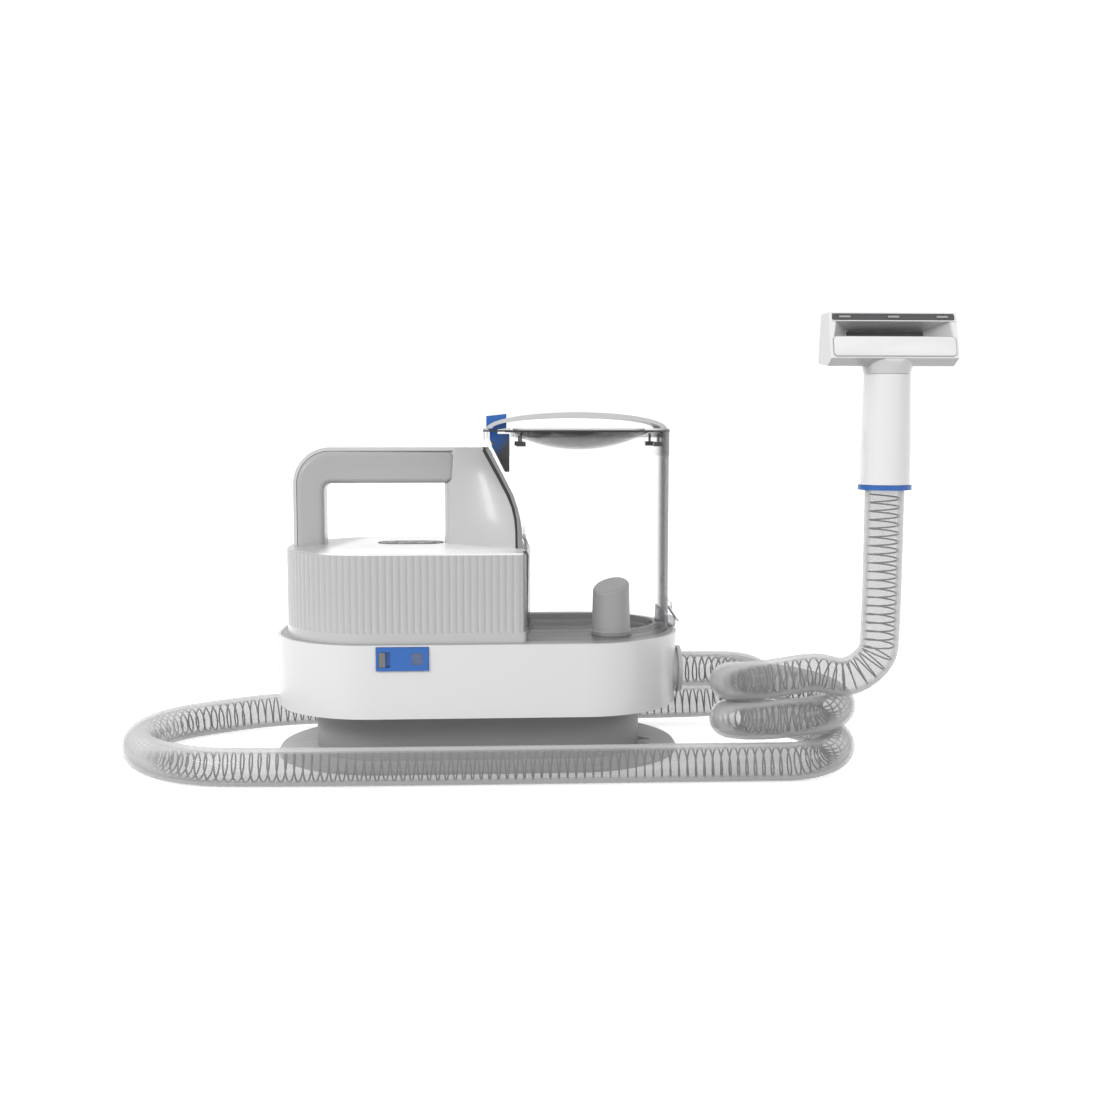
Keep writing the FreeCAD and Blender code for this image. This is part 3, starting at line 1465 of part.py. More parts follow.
def make_head():
    x, y = tool_axis
    body = new_body("head_block")
    roof = size.head_front + size.head_lean
    corners = [(y + size.head_front, head_front_low), (y + size.head_front + size.head_keel, size.head_low),
               (y + size.head_back, size.head_low + size.head_keel_rise),
               (y + size.head_back, size.head_low + size.head_shoulder), (y + roof + size.head_roof,
                                                                          size.head_top),
               (y + roof, size.head_top)]
    end_profile(body, "Pad", corners, size.head_length, x)
    low = size.grip_top + size.fit_gap
    flare = cone("head_flare", x, y, low, size.grip_top_radius, size.grip_top_radius + size.neck_flare,
                 size.neck_rise)
    limits = block("head_neck_limits", (x - size.head_length / 2, x + size.head_length / 2),
                   (y + size.head_front + 1, y + size.head_back - 1), (low - 1, low + size.neck_rise + 1))
    neck = common("head_neck", flare, limits)
    socket = rod("head_socket", x, y, low - 1, size.nose_radius + size.fit_gap, size.nose_length + 1)
    throat = rod("head_throat", x, y, low, size.grip_bore, size.throat_top - low)
    slot_top = size.mouth_low + 1 + size.slot_height
    chamber = block("head_chamber", (x - size.slot_length / 2, x + size.slot_length / 2),
                    (y + size.chamber_front, y + size.chamber_back), (size.throat_top - 2, slot_top))
    mouth = new_body("head_mouth")
    near = head_face(size.mouth_low, 6)
    back = y + size.chamber_back - 1
    slope = size.mouth_height - size.slot_height
    end_profile(mouth, "Pad", [(near, size.mouth_low - 1), (back, size.mouth_low + 1), (back, slot_top),
                               (head_face(mouth_top, 6), mouth_top + slope / 2)], size.mouth_length, x)
    cheeks = []
    for side in (-1, 1):
        cheek = new_body(f"mouth_cheek_{side + 1}")
        sketch = sketch_in(cheek, "XY_Plane", (0, 0, size.mouth_low - 2))
        outer, inner = x + side * (size.mouth_length / 2 + 1), x + side * size.slot_length / 2
        polygon(sketch, [(outer, near + 4), (inner, back + 1), (outer, back + 1)])
        add(cheek, "Pad", sketch, size.mouth_height + 10)
        cheeks.append(cheek)
    opening = cut("mouth_open", mouth, *cheeks)
    strip_half = size.strip_length / 2
    front = head_face(size.strip_low)
    strip = block("strip_cut", (x - strip_half, x + strip_half), (front - 12, front + size.strip_deep),
                  (size.strip_low, size.strip_low + size.strip_height))
    return cut("tool_head", fuse("head_solid", body, neck), socket, throat, chamber, opening, strip)


def make_strip():
    x = size.tool_x
    strip_half = size.strip_length / 2 - size.fit_gap
    front = head_face(size.strip_low + size.strip_height) + 0.2
    back = head_face(size.strip_low) + size.strip_deep
    return block("brush_strip", (x - strip_half, x + strip_half), (front, back),
                 (size.strip_low, size.strip_low + size.strip_height))


def make_head_plate():
    """A thin raised plate on the lower half of the sloped front face."""
    body = new_body("head_plate")
    low, high = head_front_low + 2, size.mouth_low - 1.5
    raised = size.plate_raise
    corners = [(head_face(low), low), (head_face(high), high), (head_face(high, raised), high),
               (head_face(low, raised), low)]
    end_profile(body, "Pad", corners, size.head_length - 4, size.tool_x)
    return body


trigger_pin = make_trigger_pin()
keep(make_ring(), make_grip(trigger_pin), trigger_pin, make_trigger(), make_head(), make_strip(),
     make_head_plate())


# Inside the housing
def make_motor():
    low = band_bottom + size.wall + size.mount_thick
    can = rod("motor_can", size.motor_x, 0, low, size.motor_radius, size.motor_length)
    collar = rod("motor_collar", size.motor_x, 0, low + size.motor_length, size.motor_radius / 2,
                 size.motor_collar)
    bore = rod("motor_bore", size.motor_x, 0, low + 4, size.shaft_radius + size.shaft_gap,
               size.motor_length + 10)
    return cut("suction_motor", fuse("motor_solid", can, collar), bore)


motor_top = band_bottom + size.wall + size.mount_thick + size.motor_length
fan_low = motor_top + size.motor_collar
fan_top = fan_low + size.fan_height


def make_motor_mount():
    low = band_bottom + size.wall
    ring = rod("mount_ring", size.motor_x, 0, low, size.motor_radius, size.mount_thick)
    bore = rod("mount_bore", size.motor_x, 0, low - 1, size.motor_radius - size.mount_width,
               size.mount_thick + 2)
    return cut("motor_mount", ring, bore)


def make_fan_case():
    outside = rod("fan_outside", size.motor_x, 0, fan_low, size.fan_radius, size.fan_height)
    room = rod("fan_room", size.motor_x, 0, fan_low + size.fan_wall, size.fan_radius - size.fan_wall,
               size.fan_height - 2 * size.fan_wall)
    eye = rod("fan_eye", size.motor_x, 0, fan_low + 4, size.air_radius, size.fan_height)
    shaft_hole = rod("fan_shaft_hole", size.motor_x, 0, fan_low - 1, size.shaft_radius + 1, 4)
    outlet = block("fan_outlet", (size.motor_x - size.fan_radius - 2, size.motor_x - size.fan_radius + 8),
                   (-16, 16), (fan_low + 4, fan_top - 4))
    return cut("fan_case", outside, room, eye, shaft_hole, outlet)


def make_impeller():
    low = fan_low + size.fan_wall + size.impeller_gap
    tall = size.fan_height - size.impeller_short
    disc = rod("impeller_disc", size.motor_x, 0, low, size.fan_radius - size.impeller_inset, size.fan_wall)
    hub = rod("impeller_hub", size.motor_x, 0, low, size.shaft_radius + size.hub_wall, tall)
    blades = []
    for index in range(int(size.blade_count)):
        blade = doc.addObject("Part::Box", f"blade_{index}")
        bind(blade, "Length", size.fan_radius - 2 * size.impeller_inset)
        bind(blade, "Width", size.blade_thick)
        bind(blade, "Height", tall - size.fan_wall)
        blade.Placement.Rotation = FreeCAD.Rotation(Vector(0, 0, 1), 360 / size.blade_count * index)
        place(blade, size.motor_x, 0, low)
        blades.append(blade)
    bore = rod("impeller_bore", size.motor_x, 0, low - 1, size.shaft_radius, size.fan_height)
    return cut("suction_impeller", fuse("impeller_solid", disc, hub, *blades), bore)


def make_shaft():
    low = band_bottom + size.wall + 8.5
    return rod("motor_shaft", size.motor_x, 0, low, size.shaft_radius, fan_low + size.fan_height - 7 - low)


def make_air_duct():
    """A flat box from the fan's eye to a collar that stands in the white top, below the tower."""
    thick = size.air_wall
    reach = size.air_radius + thick
    x = (size.motor_x - reach, middle_line + reach)
    z = (fan_top, cover_top - size.wall)
    outside = block("air_outside", x, (-reach, reach), z)
    collar = rod("air_collar", 0, 0, z[1], reach, crown - 0.5 - z[1])
    room = block("air_room", grown(x, -thick), (-size.air_radius, size.air_radius),
                 (z[0] + thick, z[1] - thick))
    eye = rod("air_eye", size.motor_x, 0, z[0] - 1, size.air_radius, thick + 2)
    throat = rod("air_throat", 0, 0, z[1] - thick - 1, size.air_radius, crown - z[1] + 10)
    return cut("air_duct", fuse("air_solid", outside, collar), room, eye, throat)


def make_board():
    low = cover_top - size.wall
    return block("circuit_board",
                 (size.panel_x - size.board_length / 2, size.panel_x + size.board_length / 2),
                 (-size.board_width / 2, size.board_width / 2), (low, low + size.board_thick))


def make_pump():
    low = band_bottom + size.wall
    half_length, half_depth = size.pump_length / 2, size.pump_depth / 2
    box = block("pump_box", (size.pump_x - half_length, size.pump_x + half_length),
                (size.pump_y - half_depth, size.pump_y + half_depth),
                (low, low + 2 * size.pump_floor + size.pump_room))
    room = rod("pump_room", size.pump_x, size.pump_y, low + size.pump_floor, size.pump_room_radius,
               size.pump_room)
    return cut("solution_pump", box, room)


def make_rotor():
    low = band_bottom + size.wall + size.pump_floor + size.rotor_gap
    tall = size.pump_room - 2 * size.rotor_gap
    reach, half = size.pump_room_radius - size.rotor_lobe_gap, size.rotor_lobe / 2
    hub = rod("rotor_hub", size.pump_x, size.pump_y, low, size.rotor_radius, tall)
    lobe = block("rotor_lobe", (size.pump_x - reach, size.pump_x + reach),
                 (size.pump_y - half, size.pump_y + half),
                 (low, low + tall))
    return fuse("pump_rotor", hub, lobe)


clean_x = (size.tray_left, size.tray_right - size.clean_short)
clean_y = (size.tray_back - size.clean_depth, size.tray_back)


def make_clean_tank():
    z = (band_bottom + size.wall, band_top - size.tray_depth - size.tray_wall - 1)
    outside = new_body("clean_tank_outside")
    slab(outside, "Pad", clean_x, clean_y, z, size.wall + size.clean_wall, size.clean_corner)
    inside = new_body("clean_tank_inside")
    thick = size.clean_wall
    slab(inside, "Pad", grown(clean_x, -thick), grown(clean_y, -thick), grown(z, -thick), size.wall,
         size.clean_corner - thick)
    neck = rod("filler_neck", filler_x, clean_y[1] - 1, filler_z, size.filler_radius,
               housing_back - clean_y[1], "y")
    bore = rod("filler_bore", filler_x, clean_y[1] - 5, filler_z, size.filler_radius - size.filler_wall,
               housing_back - clean_y[1] + size.cap_reach, "y")
    return cut("clean_tank", fuse("clean_tank_whole", outside, neck), inside, bore)


def make_filler_cap():
    face = housing_back + size.fit_gap
    disc = rod("cap_disc", filler_x, face, filler_z, size.cap_radius, size.cap_thick, "y")
    plug = rod("cap_plug", filler_x, face - size.cap_reach, filler_z,
               size.filler_radius - size.filler_wall - size.fit_gap, size.cap_reach + 1, "y")
    return fuse("filler_cap", disc, plug)


def make_filter():
    left = -housing_right + size.filter_inset
    return block("exhaust_filter", (left, left + size.filter_thick),
                 (-size.filter_width / 2, size.filter_width / 2),
                 (band_bottom + size.wall, band_top - size.filter_short))


def make_gland():
    length = 6 * size.wall
    tube = rod("gland_tube", gland_x, housing_back - 4 * size.wall, gland_z, size.gland_radius, length, "y")
    collar = rod("gland_collar", gland_x, housing_back + size.fit_gap, gland_z,
                 size.gland_radius + size.gland_rim, size.gland_rim, "y")
    bore = rod("gland_bore", gland_x, housing_back - 5 * size.wall, gland_z, size.gland_bore, 3 * length,
               "y")
    return cut("power_gland", fuse("gland_solid", tube, collar), bore)


keep(make_motor(), make_motor_mount(), make_fan_case(), make_impeller(), make_shaft(), make_air_duct())
keep(make_board(), make_pump(), make_rotor(), make_clean_tank(), make_filler_cap(), make_filter(),
     make_gland())

# Hose: its free stretches go through points chosen by hand, and its loops are worked out from their knots
HOSE_START = Vector(port_face - size.port_length / 2, size.port_y, size.port_height)
FLOOR_RUN = [
    (206, -17, 73),
    (240, -2, 70),
    (265, 23, 59),
    (270, 54, 41),
    (252, 80, 25),
    (214, 88, 19.2),
    (-146, 87, 19.2),
    (-204, 80, 18),
    (-250, 62, 16.1),
    (-284, 34, 16.1),
    (-300, -6, 16.1),
    (-299, -50, 16.1),
    (-280, -90, 16.1),
    (-246, -120, 16.1),
    (-200, -134, 16.1),
    (240, -137, 16.1),
]
RISER = [
    (280, -137, 95.15),
    (296, -138, 89),
    (308, -139, 89.6),
    (319, -139.7, 94.8),
    (327.2, -140.2, 103.6),
    (331.5, -140, 115),
]
LOOP_MIDDLE = Vector(261.5, -90.5, 0)
LOOP_RADIUS = 46.5
# Height of the hose's middle at each quarter turn: front, right, back, left
LOOP_HEIGHTS = [16.1, 22, 33, 42, 54, 57.5, 67, 80.5, 93.5]


def loop_knot(quarter):
    """A point of the loops and the direction there, quarter turns on from the front strand."""
    angle = math.radians(90 * quarter - 90)
    out = Vector(math.cos(angle), math.sin(angle), 0)
    step = math.pi / 2 * LOOP_RADIUS
    before, after = max(quarter - 1, 0), min(quarter + 1, len(LOOP_HEIGHTS) - 1)
    climb = (LOOP_HEIGHTS[after] - LOOP_HEIGHTS[before]) / (2 * step)
    if quarter == 0:
        climb = 0
    way = Vector(-math.sin(angle), math.cos(angle), 0) + Vector(0, 0, climb)
    return LOOP_MIDDLE + out * LOOP_RADIUS + Vector(0, 0, LOOP_HEIGHTS[quarter]), way.normalize()


def biarc(start, start_way, end, end_way):
    """Two arcs that meet smoothly and keep the given directions at both ends."""
    across = end - start
    both = start_way + end_way
    square = 2 * (1 - start_way.dot(end_way))
    reach = across.dot(both)
    tangent = (-reach + math.sqrt(reach ** 2 + square * across.dot(across))) / square
    first, second = start + start_way * tangent, end - end_way * tangent
    joint = (first + second) / 2
    edges = []
    for low, corner, high in ((start, first, joint), (joint, second, end)):
        chord = (low + high) / 2
        rise = (corner - chord).Length
        half = (high - low).Length / 2
        angle = 2 * math.atan2(rise, half)
        bulge = half * math.tan(angle / 4)
        middle = chord + (corner - chord).normalize() * bulge
        edges.append(Part.Arc(low, middle, high).toShape())
    return edges


def loops_path():
    edges = []
    knots = [loop_knot(quarter) for quarter in range(len(LOOP_HEIGHTS))]
    for (start, start_way), (end, end_way) in zip(knots, knots[1:]):
        edges.extend(biarc(start, start_way, end, end_way))
    return Part.Wire(edges), knots


def spread(wire, count):
    """Points along a wire, evenly spaced."""
    points = []
    for edge in wire.OrderedEdges:
        steps = max(2, round(count * edge.Length / wire.Length))
        points.extend(edge.discretize(Number=steps)[:-1])
    return points


def least_gap(wire, radius):
    """The least clear space between two parts of one tube that lie apart along it."""
    points = spread(wire, 400)
    step = wire.Length / len(points)
    skip = int(3 * radius / step) + 1
    gaps = []
    for index, point in enumerate(points):
        gaps.extend(point.distanceToPoint(other) for other in points[index + skip:])
    return min(gaps) - 2 * radius


def make_wire(name, start, end, curls):
    """A curled wire centred along a straight stretch of the hose, just clear of its wall."""
    thick, pitch = float(size.wire_thick), float(size.wire_pitch)
    radius = float(size.hose_radius - size.hose_wall - size.wire_thick / 2 - size.wire_gap)
    along = (end - start).normalize()
    begin = (start + end) / 2 - along * (curls * pitch / 2)
    side = along.cross(Vector(0, 1, 0)).normalize()
    other = along.cross(side)
    knots = []
    for quarter in range(4 * curls + 1):
        angle = math.pi / 2 * quarter
        out = side * math.cos(angle) + other * math.sin(angle)
        way = (other * math.cos(angle) - side * math.sin(angle)) * (2 * math.pi * radius) + along * pitch
        knots.append((begin + out * radius + along * (pitch * quarter / 4), way.normalize()))
    first, first_way = knots[0]
    last, last_way = knots[-1]
    tip = first - first_way * thick
    edges = [Part.LineSegment(tip, first).toShape()]
    for (low, low_way), (high, high_way) in zip(knots, knots[1:]):
        edges.extend(biarc(low, low_way, high, high_way))
    edges.append(Part.LineSegment(last, last + last_way * thick).toShape())
    path = Part.Wire(edges)
    ring = Part.Wire([Part.Circle(tip, first_way, thick / 2).toShape()])
    short = Part.Wire(edges[1:25])
    print(name, "curls", curls, "radius", round(radius, 2), "least gap to itself",
          round(least_gap(short, thick / 2), 2))
    return coded(name, path.makePipeShell([ring], True, False))


def make_hose():
    outer, inner = float(size.hose_radius), float(size.hose_radius - size.hose_wall)
    section = math.pi * (outer ** 2 - inner ** 2)
    loops, knots = loops_path()
    loops_start, loops_end = knots[0][0], knots[-1][0]
    floor_points = [HOSE_START] + [Vector(*point) for point in FLOOR_RUN] + [loops_start]
    riser_points = [loops_end] + [Vector(*point) for point in RISER]
    riser_points.append(Vector(size.tool_x, size.tool_y, ring_top - 1))
    made = []
    for name, points in (("hose_run", floor_points), ("hose_riser", riser_points)):
        path = rounded_path(points)
        heading = points[1] - points[0]
        shape = tube_along(path, outer, inner, points[0], heading)
        share = shape.Volume / (section * path.Length)
        print(name, "length", round(path.Length, 1), "volume share", round(share, 4))
        bends = [edge.Curve.Radius for edge in path.Edges if hasattr(edge.Curve, "Radius")]
        print(name, "radii", [round(radius) for radius in bends])
        made.append(coded(name, shape))
    shape = tube_along(loops, outer, inner, loops_start, knots[0][1])
    share = shape.Volume / (section * loops.Length)
    print("hose_loops length", round(loops.Length, 1), "volume share", round(share, 4))
    print("hose_loops radii", [round(edge.Curve.Radius) for edge in loops.Edges])
    print("hose_loops least gap to itself", round(least_gap(loops, outer), 2))
    made.append(coded("hose_loops", shape))
    made.append(make_wire("front_wire", floor_points[-3], floor_points[-2], int(size.front_curls)))
    made.append(make_wire("riser_wire", riser_points[-2] + Vector(0, 0, 10), riser_points[-1],
                          int(size.riser_curls)))
    return made


keep(*make_hose())

doc.recompute()

# Every object has to be up to date and every sub-part a valid solid before anything is written
failed = [thing.Name for thing in doc.Objects if {"Invalid", "Error"} & set(thing.State)]
if failed:
    raise RuntimeError(f"features failed: {failed}")
for part in PARTS:
    shape = part.Shape
    if shape.isNull() or not shape.isValid() or not shape.Solids:
        raise RuntimeError(f"{part.Label} isn't a valid solid")
os.makedirs("parts", exist_ok=True)
for part in PARTS:
    part.Shape.exportStep(f"parts/{part.Label}.step")
    print(part.Label, len(part.Shape.Solids), round(part.Shape.Volume))
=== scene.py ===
import json
from math import cos, pi, radians, sin

import bmesh
import bpy
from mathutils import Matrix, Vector


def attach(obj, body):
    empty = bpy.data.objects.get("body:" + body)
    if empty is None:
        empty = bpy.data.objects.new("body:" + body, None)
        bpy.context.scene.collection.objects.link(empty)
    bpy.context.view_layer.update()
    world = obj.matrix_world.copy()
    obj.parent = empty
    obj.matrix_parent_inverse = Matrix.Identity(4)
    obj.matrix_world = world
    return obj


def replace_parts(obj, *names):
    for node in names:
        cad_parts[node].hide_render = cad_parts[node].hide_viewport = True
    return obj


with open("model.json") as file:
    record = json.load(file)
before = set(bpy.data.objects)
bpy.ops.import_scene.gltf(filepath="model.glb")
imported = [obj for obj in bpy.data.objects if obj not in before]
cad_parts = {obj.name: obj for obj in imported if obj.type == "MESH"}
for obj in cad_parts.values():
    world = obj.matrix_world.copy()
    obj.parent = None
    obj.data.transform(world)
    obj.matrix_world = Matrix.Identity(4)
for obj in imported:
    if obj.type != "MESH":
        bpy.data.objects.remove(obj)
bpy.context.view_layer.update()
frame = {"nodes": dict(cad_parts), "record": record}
nodes = frame["nodes"]

# Camera at the photograph's height and angle
PHOTO_WIDTH_PX = 1100
PHOTO_FOCAL_PX = 1300
SENSOR_WIDTH = 36
CAMERA_PLACE = (-0.0008, -1.1846, 0.290)
CAMERA_PITCH, CAMERA_YAW = 84.75, -3.22

camera_data = bpy.data.cameras.new("camera")
camera_data.sensor_width = SENSOR_WIDTH
camera_data.lens = SENSOR_WIDTH * PHOTO_FOCAL_PX / PHOTO_WIDTH_PX
camera = bpy.data.objects.new("camera", camera_data)
camera.location = CAMERA_PLACE
camera.rotation_euler = (radians(CAMERA_PITCH), 0, radians(CAMERA_YAW))
bpy.context.scene.collection.objects.link(camera)
bpy.context.scene.camera = camera


# Node helpers that every finish uses
def blank_material(name):
    material = bpy.data.materials.new(name)
    material.use_nodes = True
    material.node_tree.nodes.clear()
    return material, material.node_tree


def add_node(tree, kind, **settings):
    node = tree.nodes.new(kind)
    for key, value in settings.items():
        if hasattr(node, key):
            setattr(node, key, value)
        else:
            node.inputs[key.replace("_", " ")].default_value = value
    return node


def link(tree, source, target):
    tree.links.new(source, target)


def object_place(tree, scale=(1, 1, 1)):
    place = add_node(tree, "ShaderNodeTexCoord")
    mapping = add_node(tree, "ShaderNodeMapping")
    mapping.inputs["Scale"].default_value = scale
    link(tree, place.outputs["Object"], mapping.inputs["Vector"])
    return mapping.outputs["Vector"]


def noise(tree, place, scale, detail=2):
    texture = add_node(tree, "ShaderNodeTexNoise", Scale=scale, Detail=detail)
    link(tree, place, texture.inputs["Vector"])
    return texture.outputs["Fac"]


def shades(tree, source, dark, light, low=0.3, high=0.7):
    ramp = add_node(tree, "ShaderNodeValToRGB")
    ramp.color_ramp.elements[0].position = low
    ramp.color_ramp.elements[0].color = (*dark, 1)
    ramp.color_ramp.elements[1].position = high
    ramp.color_ramp.elements[1].color = (*light, 1)
    link(tree, source, ramp.inputs["Fac"])
    return ramp.outputs["Color"]


def span(tree, source, low, high):
    spread = add_node(tree, "ShaderNodeMapRange")
    spread.inputs["To Min"].default_value = low
    spread.inputs["To Max"].default_value = high
    link(tree, source, spread.inputs["Value"])
    return spread.outputs["Result"]


def bump(tree, height, depth):
    raised = add_node(tree, "ShaderNodeBump", Strength=1.0, Distance=depth)
    link(tree, height, raised.inputs["Height"])
    return raised.outputs["Normal"]


def scaled(colour, factor):
    return tuple(min(1.0, c * factor) for c in colour)


def finish_surface(tree, shader):
    output = add_node(tree, "ShaderNodeOutputMaterial")
    link(tree, shader, output.inputs["Surface"])


# Moulded plastic: a faint mottle, uneven gloss and the fine grain of a spark-eroded mould
def moulded(name, colour, roughness, grain=0.00003, grain_scale=2600, mottle=0.03, coat=0.0):
    material, tree = blank_material(name)
    place = object_place(tree)
    surface = add_node(tree, "ShaderNodeBsdfPrincipled")
    cloud = noise(tree, place, 9, 3)
    link(tree, shades(tree, cloud, scaled(colour, 1 - mottle), scaled(colour, 1 + mottle)),
         surface.inputs["Base Color"])
    link(tree, span(tree, noise(tree, place, 30, 4), roughness - 0.03, roughness + 0.03),
         surface.inputs["Roughness"])
    link(tree, bump(tree, noise(tree, place, grain_scale, 2), grain), surface.inputs["Normal"])
    surface.inputs["Coat Weight"].default_value = coat
    surface.inputs["Coat Roughness"].default_value = 0.08
    finish_surface(tree, surface.outputs["BSDF"])
    return material


# Clear plastic: see-through face on and thicker where it's seen along its wall. The two slants say where
# the thickening starts and ends, and level faces stay clear by as much as level says
def clear_plastic(name, colour, face, edge, face_tint, edge_tint, roughness=0.06, slants=(0.6, 0.95),
                  level=0.0, gloss=0.5, edge_colour=None):
    material, tree = blank_material(name)
    place = object_place(tree)
    facing = add_node(tree, "ShaderNodeLayerWeight", Blend=0.5)
    slant = add_node(tree, "ShaderNodeMapRange", interpolation_type="SMOOTHSTEP")
    slant.inputs["From Min"].default_value, slant.inputs["From Max"].default_value = slants
    link(tree, facing.outputs["Facing"], slant.inputs["Value"])
    normal = add_node(tree, "ShaderNodeNewGeometry")
    parts = add_node(tree, "ShaderNodeSeparateXYZ")
    link(tree, normal.outputs["True Normal"], parts.inputs["Vector"])
    upright = add_node(tree, "ShaderNodeMath", operation="ABSOLUTE")
    link(tree, parts.outputs["Z"], upright.inputs[0])
    flat = add_node(tree, "ShaderNodeMapRange", interpolation_type="SMOOTHSTEP")
    flat.inputs["From Min"].default_value, flat.inputs["From Max"].default_value = 0.88, 0.98
    flat.inputs["To Min"].default_value, flat.inputs["To Max"].default_value = 1.0, 1.0 - level
    link(tree, upright.outputs["Value"], flat.inputs["Value"])
    wall = add_node(tree, "ShaderNodeMath", operation="MULTIPLY")
    link(tree, slant.outputs["Result"], wall.inputs[0])
    link(tree, flat.outputs["Result"], wall.inputs[1])
    through = add_node(tree, "ShaderNodeBsdfTransparent")
    link(tree, shades(tree, wall.outputs["Value"], face_tint, edge_tint, 0.0, 1.0), through.inputs["Color"])
    surface = add_node(tree, "ShaderNodeBsdfPrincipled")
    surface.inputs["Specular IOR Level"].default_value = gloss
    tone = add_node(tree, "ShaderNodeMix", data_type="RGBA", blend_type="MULTIPLY")
    tone.inputs[0].default_value = 1.0
    link(tree, shades(tree, wall.outputs["Value"], colour, edge_colour or colour, 0.0, 1.0), tone.inputs[6])
    link(tree, shades(tree, noise(tree, place, 40, 3), (0.95, 0.95, 0.95), (1.0, 1.0, 1.0)), tone.inputs[7])
    link(tree, tone.outputs[2], surface.inputs["Base Color"])
    link(tree, span(tree, noise(tree, place, 80, 3), roughness * 0.7, roughness * 1.3),
         surface.inputs["Roughness"])
    mix = add_node(tree, "ShaderNodeMixShader")
    link(tree, span(tree, wall.outputs["Value"], face, edge), mix.inputs["Fac"])
    link(tree, through.outputs["BSDF"], mix.inputs[1])
    link(tree, surface.outputs["BSDF"], mix.inputs[2])
    finish_surface(tree, mix.outputs["Shader"])
    return material


# Two colours that meet along a way through the piece: the first up to start and the second from end on. Some
# pieces are two-tone plastic, others get painted light or painted shade this way
def blended(name, first, second, roughness, way, start, end, coat=0.0):
    material, tree = blank_material(name)
    place = object_place(tree)
    along = add_node(tree, "ShaderNodeVectorMath", operation="DOT_PRODUCT")
    link(tree, place, along.inputs[0])
    along.inputs[1].default_value = way
    share = add_node(tree, "ShaderNodeMapRange", interpolation_type="SMOOTHSTEP")
    share.inputs["From Min"].default_value, share.inputs["From Max"].default_value = start, end
    link(tree, along.outputs["Value"], share.inputs["Value"])
    surface = add_node(tree, "ShaderNodeBsdfPrincipled")
    link(tree, shades(tree, share.outputs["Result"], first, second, 0.0, 1.0), surface.inputs["Base Color"])
    link(tree, span(tree, noise(tree, place, 60, 3), roughness - 0.03, roughness + 0.03),
         surface.inputs["Roughness"])
    surface.inputs["Coat Weight"].default_value = coat
    surface.inputs["Coat Roughness"].default_value = 0.1
    finish_surface(tree, surface.outputs["BSDF"])
    return material


def brushed_metal(name, colour, roughness, stretch=(1, 1, 1)):
    material, tree = blank_material(name)
    place = object_place(tree, stretch)
    surface = add_node(tree, "ShaderNodeBsdfPrincipled", Metallic=1.0)
    lines = noise(tree, place, 900, 4)
    link(tree, shades(tree, lines, scaled(colour, 0.85), colour), surface.inputs["Base Color"])
    link(tree, span(tree, lines, roughness - 0.08, roughness + 0.08), surface.inputs["Roughness"])
    link(tree, bump(tree, lines, 0.00002), surface.inputs["Normal"])
    finish_surface(tree, surface.outputs["BSDF"])
    return material


def open_foam(name, colour):
    material, tree = blank_material(name)
    place = object_place(tree)
    cells = add_node(tree, "ShaderNodeTexVoronoi", Scale=700.0)
    link(tree, place, cells.inputs["Vector"])
    surface = add_node(tree, "ShaderNodeBsdfPrincipled", Roughness=0.95)
    link(tree, shades(tree, cells.outputs["Distance"], scaled(colour, 0.25), scaled(colour, 1.5), 0.1, 0.6),
         surface.inputs["Base Color"])
    link(tree, bump(tree, cells.outputs["Distance"], 0.0006), surface.inputs["Normal"])
    finish_surface(tree, surface.outputs["BSDF"])
    return material


def circuit_lacquer(name, colour):
    material, tree = blank_material(name)
    place = object_place(tree)
    tracks = add_node(tree, "ShaderNodeTexBrick", Scale=160.0, Mortar_Size=0.03)
    tracks.inputs["Color1"].default_value = (*colour, 1)
    tracks.inputs["Color2"].default_value = (*scaled(colour, 0.7), 1)
    tracks.inputs["Mortar"].default_value = (*scaled(colour, 2.2), 1)
    link(tree, place, tracks.inputs["Vector"])
    surface = add_node(tree, "ShaderNodeBsdfPrincipled", Roughness=0.3)
    link(tree, tracks.outputs["Color"], surface.inputs["Base Color"])
    link(tree, bump(tree, tracks.outputs["Fac"], 0.00004), surface.inputs["Normal"])
    finish_surface(tree, surface.outputs["BSDF"])
    return material


WHITE = (0.72, 0.72, 0.725)
GREY = (0.46, 0.46, 0.465)
BLUE = (0.014, 0.118, 0.42)
SMOKE = (0.10, 0.10, 0.105)

